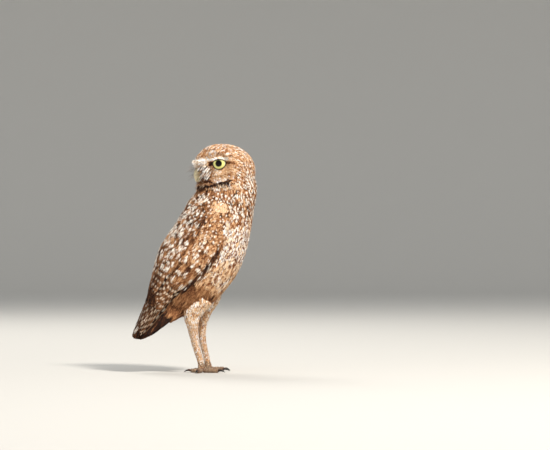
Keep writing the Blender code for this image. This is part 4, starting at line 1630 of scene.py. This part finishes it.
class Eye:
    """An eyeball with a bulging clear front, its dark lids and the small feathers round them."""

    FRONT, REAR, UP, DOWN = 5.8, 6.8, 3.4, 5.6
    SLANT = math.radians(5)
    LID = 0.55
    RIM = 0.9
    HEAVY = 0.5
    BURIED = 8.3
    SEAT, SPREAD = 7.2, 12.5
    RINGS = 7

    def __init__(self, side: str) -> None:
        """Finds the eye's place and its own plane: back from the bill, and up."""
        self.name, self.turn = side, SIDES[side]
        self.centre, self.axis = eye_centre(self.turn), eye_axis(self.turn)
        flat = unit(np.cross(UPWARD, self.axis)) * self.turn
        rise = np.cross(self.axis, flat) * self.turn
        self.back = flat * math.cos(self.SLANT) + rise * math.sin(self.SLANT)
        self.up = rise * math.cos(self.SLANT) - flat * math.sin(self.SLANT)

    def build(self) -> None:
        """Builds the eyeball and its lids."""
        ball = Bench.added(
            f"eyeball_{self.name}", "primitive_uv_sphere_add", segments=64, ring_count=48,
            radius=EYE_RADIUS * MM,
        )
        tilt = Vector((0, 0, 1)).rotation_difference(Vector(self.axis)).to_matrix()
        turned = Bench.places(ball) @ np.array(tilt).T
        Bench.place(ball, turned + self.centre)
        ball.data.shade_smooth()
        Bench.hand_over(ball, EyeFinish(self.turn).material(), "eye", f"eye_{self.name}")
        self.lids()

    def opening(self, turn: np.ndarray) -> tuple[np.ndarray, np.ndarray]:
        """Returns the way to the lids' edge in the eye's plane at each turn, and how far it is."""
        wide = np.cos(turn) * np.where(np.cos(turn) > 0, self.REAR, self.FRONT)
        top = np.sin(turn) > 0
        bend = np.abs(np.sin(turn)) ** np.where(top, 0.75, 1.05)
        high = np.where(top, self.UP, -self.DOWN) * bend
        flat = np.stack([wide, high], 1)
        out = np.linalg.norm(flat, axis=1)
        return flat / out[:, None], out

    def lids(self) -> None:
        """Builds the lids as one closed ring that hugs the eyeball."""
        around, section = 96, 10
        ring = Bench.added(
            f"lids_{self.name}", "primitive_torus_add", major_segments=around,
            minor_segments=section, major_radius=7 * MM, minor_radius=1 * MM,
        )
        turn = np.arange(around) / around * math.tau
        ways, out = self.opening(turn)
        # The upper lid's dark band is wider: partly its own heavier rim, partly painted shade under the
        # brow
        heavy = 1 + self.HEAVY * np.maximum(np.sin(turn), 0)
        # Each step: how far from the edge to the buried rim, in mm and as a share, and how high
        steps = (
            (0.25, 0, 0.02), (0.0, 0, 0.25), (0.12, 0, 0.5), (0.5, 0, 0.55), (self.RIM, 0, 0.45),
            (0, 0.5, 0.35), (0, 1, 0.2), (0, 1, -0.4), (0, 0.5, -0.3), (self.RIM, 0, -0.2),
        )
        points = np.empty((around, section, 3))
        marks = np.ones((around, section, 4))
        for index, (more, share, rise) in enumerate(steps):
            reach = out + more if not share else out + self.RIM + (self.BURIED - out - self.RIM) * share
            reach = np.minimum(reach, self.BURIED)
            height = np.sqrt((EYE_RADIUS + rise) ** 2 - reach**2)
            flat = ways * reach[:, None]
            points[:, index] = (
                self.centre + flat[:, :1] * self.back + flat[:, 1:] * self.up
                + height[:, None] * self.axis
            )
            marks[:, index, 0] = (reach - out) / heavy
        Bench.place(ring, points.reshape(-1, 3))
        layer = ring.data.attributes.new("marks", "FLOAT_COLOR", "POINT")
        layer.data.foreach_set("color", marks.astype(np.float32).ravel())
        Bench.pick(ring)
        bpy.ops.object.mode_set(mode="EDIT")
        bpy.ops.mesh.select_all(action="SELECT")
        bpy.ops.mesh.normals_make_consistent(inside=False)
        bpy.ops.object.mode_set(mode="OBJECT")
        ring.data.shade_smooth()
        Bench.hand_over(ring, LidFinish().material(), "eye")

    def dome(self, outline: Outline, flat: np.ndarray) -> np.ndarray:
        """Lays points of the eye's plane on the lids or the face, whichever stands higher.

        Args:
            outline: The face's surface.
            flat: Places in the eye's plane, back and up from the pupil.

        Returns:
            The places on the surface.
        """
        over = self.centre + flat[:, :1] * self.back + flat[:, 1:] * self.up
        hits, faces = outline.cast(over + self.axis * 16, Vector(-self.axis))
        face = np.where(faces >= 0, (hits - self.centre) @ self.axis, -9.0)
        face = self.lowered(face, flat, self.LID)
        lid = np.sqrt(np.maximum((EYE_RADIUS + self.LID) ** 2 - (flat**2).sum(1), 0.04))
        return over + self.axis * np.maximum(lid, face)[:, None]

    def lowered(self, height: np.ndarray, flat: np.ndarray, rise: float) -> np.ndarray:
        """Eases the face down to the lids where it stands higher than they do.

        Args:
            height: How far out of the eyeball's middle the face stands.
            flat: Places in the eye's plane, back and up from the pupil.
            rise: How far over the eyeball it has come down at the lids.

        Returns:
            The new heights.
        """
        far = np.linalg.norm(flat, axis=1)
        rim = np.sqrt((EYE_RADIUS + rise) ** 2 - np.minimum(far, self.SEAT) ** 2)
        return np.where(height > rim, rim + (height - rim) * ease(far, self.SEAT, self.SPREAD), height)

    def bedded(self, places: np.ndarray) -> np.ndarray:
        """Returns the skin's places, with what lay over the eyeball sunk behind its lids."""
        off = places - self.centre
        height = off @ self.axis
        flat = np.stack([off @ self.back, off @ self.up], 1)
        far = np.linalg.norm(flat, axis=1)
        ways, out = self.opening(np.arange(0.5, 96) / 96 * math.tau)
        turns = np.arctan2(ways[:, 1], ways[:, 0])
        edge = np.interp(np.arctan2(flat[:, 1], flat[:, 0]), turns, out, period=math.tau)
        sunk = self.lowered(height, flat, 0.1)
        ball = np.sqrt(np.maximum((EYE_RADIUS - 0.5) ** 2 - far**2, 0))
        sunk += (np.minimum(sunk, ball) - sunk) * ease(far - edge, 1.1, 0.6)
        change = np.where((height > 0) & (far < self.SPREAD), sunk - height, 0)
        return places + self.axis * change[:, None]

    def rays(self, coat: Coat, plumage: "Plumage") -> None:
        """Adds the rings of small feathers that run from the lids' edge out over the face."""
        rng = plumage.rng
        for ring in range(self.RINGS):
            count = 76 + 6 * ring
            turn = (np.arange(count) + rng.uniform(-0.4, 0.4, count)) / count * math.tau
            ways, out = self.opening(turn)
            length = rng.uniform(2.0, 3.0, count)
            start = out + 0.75 + self.HEAVY * np.maximum(np.sin(turn), 0) + ring * 0.75
            at = np.linspace(0, 1, RAY.rows + 1)
            steps = start[:, None] + length[:, None] * at
            flat = ways[:, None] * steps[..., None]
            spine = self.dome(plumage.outline, flat.reshape(-1, 2)).reshape(count, -1, 3)
            run = unit(np.gradient(spine, axis=1))
            side = np.cross(self.axis, run[:, -1:])
            normals = unit(np.cross(run, side))
            normals *= np.sign((normals @ self.axis))[..., None]
            nodes = np.full(count, FLESH.index("head"))
            rows = plumage.markings.at(spine[:, -1], nodes)
            brood = Brood(
                form=RAY, roots=spine[:, 0], ways=run[:, 0], lengths=length,
                widths=rng.uniform(0.75, 1.05, count), marks=Markings.of_feathers(rows, rng),
                heights=rng.uniform(0.0, 0.25, count),
            )
            coat.fray(brood, spine, normals, run)


class Face:
    """The free plumes of the face: white ones over the bill, streaky ones beside it, and bristles."""

    def roots(
        self, plumage: "Plumage", low: tuple[float, float, float],
        high: tuple[float, float, float], spacing: float,
    ) -> tuple[np.ndarray, np.ndarray, np.ndarray]:
        """Scatters roots over part of the face, alike on both sides.

        Args:
            plumage: The plumage.
            low: The least places ahead, outward and up, in the head's frame.
            high: The greatest ones.
            spacing: The least distance between two roots.

        Returns:
            The roots, the surface's normals there and which side of the head each is on.
        """
        local = in_head(plumage.outline.middles)
        local[:, 1] = np.abs(local[:, 1])
        wanted = plumage.on("head") & (local > low).all(1) & (local < high).all(1)
        places, faces = plumage.outline.scatter(wanted, spacing, plumage.rng)
        normals = plumage.outline.face_normals[faces]
        return places, normals, np.sign(in_head(places)[:, 1])

    def build(self, coat: Coat, plumage: "Plumage") -> None:
        """Adds the plumes to the face's coat."""
        rng = plumage.rng

        def lay(
            region: tuple[tuple, tuple, float], way: tuple[float, float, float], off: float,
            length: tuple[float, float], width: float, tones: tuple[float, ...], sag: float,
        ) -> None:
            """Lays one kind of plume over a region, in a way given for the left side."""
            places, normals, side = self.roots(plumage, *region)
            count = len(places)
            ways = np.tile(np.array(way, float), (count, 1))
            ways[:, 1] *= side
            ways = unit(head_way(ways) + normals * off + rng.normal(0, 0.09, (count, 3)))
            marks = np.zeros((count, 4))
            marks[:, 0] = np.clip(rng.choice(tones, count) + rng.normal(0, 0.04, count), 0, 1)
            coat.plume(
                places - normals * 0.7, ways, normals, rng.uniform(*length, count),
                width * rng.uniform(0.8, 1.25, count), marks, sag,
            )

        lay(((22, 0.5, 2.0), (32, 10, 9.5), 0.85), (0.72, 0.32, -0.12), 0.3, (3, 5.2), 0.7,
            (1.0, 0.98, 0.9), 0.15)
        for step in range(0, 24, 3):
            line = COLLAR_FALL * (step + 1.5) + COLLAR_START
            lay(((step, 3, line - 1.3), (step + 3, 30, line + 1.3), 0.75), (-0.1, 0.15, -1.0), 0.1,
                (3.0, 5.0), 0.75, (0.0, 0.03, 0.1), 0.0)
        lay(((18, 4.5, -8), (29, 13, 3), 0.85), (0.62, 0.10, -0.78), 0.12, (4.5, 7.5), 0.6,
            (0.98, 0.98, 0.95, 0.08, 0.45), 0.05)
        lay(((20, 1.0, -17), (30, 10, -8), 1.0), (0.60, 0.05, -0.80), 0.15, (4.0, 6.5), 0.6,
            (0.85, 0.3, 0.1, 0.5), 0.05)
        lay(((22, 2.0, -8), (30, 9, 5), 1.5), (0.93, 0.22, -0.12), 0.45, (7, 14), 0.2,
            (0.12, 0.3, 0.5), 0.25)


@dataclass
class Horn:
    """A piece of horn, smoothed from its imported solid."""

    node: str
    name: str
    finish: HornFinish
    slot: str
    voxel: float
    root: np.ndarray
    length: float
    nostril: bool = False
    shape: Callable[[np.ndarray], np.ndarray] | None = None

    def build(self) -> None:
        """Builds the piece."""
        piece = Bench.copy_of(self.node)
        piece.name = piece.data.name = self.name
        Bench.modify(piece, "REMESH", mode="VOXEL", voxel_size=self.voxel * MM)
        piece = Bench.keep_largest(piece)
        piece.name = piece.data.name = self.name
        Bench.modify(piece, "SMOOTH", factor=0.5, iterations=3)
        places = Bench.places(piece)
        if self.shape:
            places = from_head(self.shape(in_head(places)))
            Bench.place(piece, places)
        marks = np.zeros((len(places), 4))
        marks[:, 0] = np.linalg.norm(places - self.root, axis=1) / self.length
        # The nostril: a shallow dent, painted near black as the shade inside the opening
        if self.nostril:
            local = in_head(places)
            off = np.abs(local) * (1, 1, 0) + local * (0, 0, 1) - NOSTRIL
            near = ease(np.linalg.norm(off / (1.0, 1.0, 0.8), axis=1), 1.3, 0.5)
            marks[:, 1] = near
            inward = head_way(np.array((-0.4, 0.0, -0.1)))
            places = places + inward * near[:, None] * 0.5
            Bench.place(piece, places)
        layer = piece.data.attributes.new("marks", "FLOAT_COLOR", "POINT")
        layer.data.foreach_set("color", marks.astype(np.float32).ravel())
        piece.data.shade_smooth()
        Bench.hand_over(piece, self.finish.material(), self.slot, self.node)


NOSTRIL = np.array((30.5, 3.4, -2.2))


def hooked(local: np.ndarray) -> np.ndarray:
    """Returns the upper bill's places with a narrow ridge and a tip that hooks down and back."""
    ahead, out, up = local.T
    end = ease(up, -6.0, -13.0)
    narrow = (1 - 0.5 * end) * (1 - 0.35 * ease(ahead, 31.0, 37.5))
    return np.stack([ahead - 1.1 * end**2, out * narrow, up - 1.4 * end], 1)


def tucked(local: np.ndarray) -> np.ndarray:
    """Returns the lower bill's places, drawn in under the upper one."""
    ahead, out, up = local.T
    front = ease(ahead, 27.0, 34.0)
    return np.stack([ahead - 1.6 * front, out * (1 - 0.3 * front), up + 0.5 * front], 1)


def build_horns() -> None:
    """Builds the bill's two halves and the eight claws."""
    bill = HornFinish("bill", Hue.HORN_BASE, Hue.HORN)
    root = from_head(np.array((27.0, 0.0, 0.0)))
    Horn("bill_upper", "bill_top", bill, "bill_horn", 0.25, root, 14, True, hooked).build()
    Horn("bill_lower", "bill_under", bill, "bill_horn", 0.22, root, 14, False, tucked).build()
    claw = HornFinish("claw", Hue.UMBER, Hue.CLAW, 0.28)
    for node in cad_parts:
        if node.startswith("claw_"):
            low, high = (np.array(c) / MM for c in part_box(node))
            side = SIDES[node.rsplit("_", 1)[1]]
            foot = np.array((8.0 if side < 0 else 14.0, side * 14.5, 8.0))
            near = np.clip(foot, low, high)
            Horn(node, f"talon_{node[5:]}", claw, "claw_horn", 0.22, near, 7.0).build()


@dataclass
class Studio:
    """A floor that rises all round into a wall, wider than the camera's way round, and the lights."""

    floor_flat: float = 3600.0
    floor_bend: float = 1200.0
    floor_reach: float = 7500.0
    across: float = 83.7
    height: float = 152.9
    distance: float = 3000.0
    seen_wide: float = 572.0
    sensor: float = 36.0

    def build(self) -> None:
        """Builds the studio."""
        floor = Bench.added(
            "floor", "primitive_grid_add", x_subdivisions=128, y_subdivisions=128,
            size=2 * self.floor_reach * MM,
        )
        flat = Bench.places(floor)
        walked = np.linalg.norm(flat[:, :2], axis=1)
        turn = np.clip((walked - self.floor_flat) / self.floor_bend, 0, math.pi / 2)
        out = np.minimum(walked, self.floor_flat) + self.floor_bend * np.sin(turn)
        over = walked - self.floor_flat - self.floor_bend * math.pi / 2
        flat[:, 2] = self.floor_bend * (1 - np.cos(turn)) + np.maximum(over, 0)
        flat[:, :2] *= (out / np.maximum(walked, 1e-9))[:, None]
        Bench.place(floor, flat)
        floor.data.shade_smooth()
        paper = PlainFinish("paper", Hue.STUDIO, Hue.STUDIO, 0.9, 3.0)
        floor.data.materials.append(paper.material())
        self.light("key", (1050, -1150, 1900), 360, 68, (1.0, 0.95, 0.88)).visible_glossy = True
        self.light("fill", (-1500, -1700, 700), 1600, 11, (0.95, 0.97, 1.0))
        self.light("back", (-500, 1300, 1500), 900, 22, (1.0, 0.97, 0.92))
        world = bpy.data.worlds.new("studio")
        bpy.context.scene.world = world
        world.use_nodes = True
        world.node_tree.nodes["Background"].inputs["Color"].default_value = (0.9, 0.95, 1.0, 1)
        world.node_tree.nodes["Background"].inputs["Strength"].default_value = 0.7
        bpy.context.scene.view_settings.view_transform = "Standard"
        self.camera()

    def light(
        self, name: str, place: tuple[float, float, float], size: float, power: float,
        colour: tuple[float, float, float],
    ) -> bpy.types.Object:
        """Adds a square soft light that faces the owl and leaves no glint of its own.

        Args:
            name: The light's name.
            place: Where it hangs.
            size: Its side.
            power: Its power in watts.
            colour: Its tint.

        Returns:
            The light.
        """
        lamp = bpy.data.lights.new(name, "AREA")
        lamp.size, lamp.energy, lamp.color = size * MM, power, colour
        item = bpy.data.objects.new(name, lamp)
        item.location = Vector(place) * MM
        aim = Vector((0, 0, 120 * MM)) - item.location
        item.rotation_euler = aim.to_track_quat("-Z", "Y").to_euler()
        item.visible_glossy = False
        bpy.context.scene.collection.objects.link(item)
        return item

    def camera(self) -> None:
        """Adds the camera, level and square to the owl's side."""
        data = bpy.data.cameras.new("camera")
        data.sensor_width = self.sensor
        data.lens = self.sensor * self.distance / self.seen_wide
        item = bpy.data.objects.new("camera", data)
        item.location = Vector((self.across, -self.distance, self.height)) * MM
        item.rotation_euler = (math.pi / 2, 0, 0)
        bpy.context.scene.collection.objects.link(item)
        bpy.context.scene.camera = item


def main() -> None:
    """Builds the owl and its studio."""
    logging.basicConfig(level=logging.INFO, format="%(name)s %(relativeCreated)d ms %(message)s")
    Studio().build()
    outline = Outline()
    log.info("outline: %d triangles", len(outline.faces))
    plumage = Plumage(outline)
    plumage.build()
    for side in SIDES:
        Wing(plumage, side).build()
        Eye(side).build()
    Tail().build(plumage)
    build_horns()
    Skin().build(outline, plumage.markings)


if __name__ == "__main__":
    main()
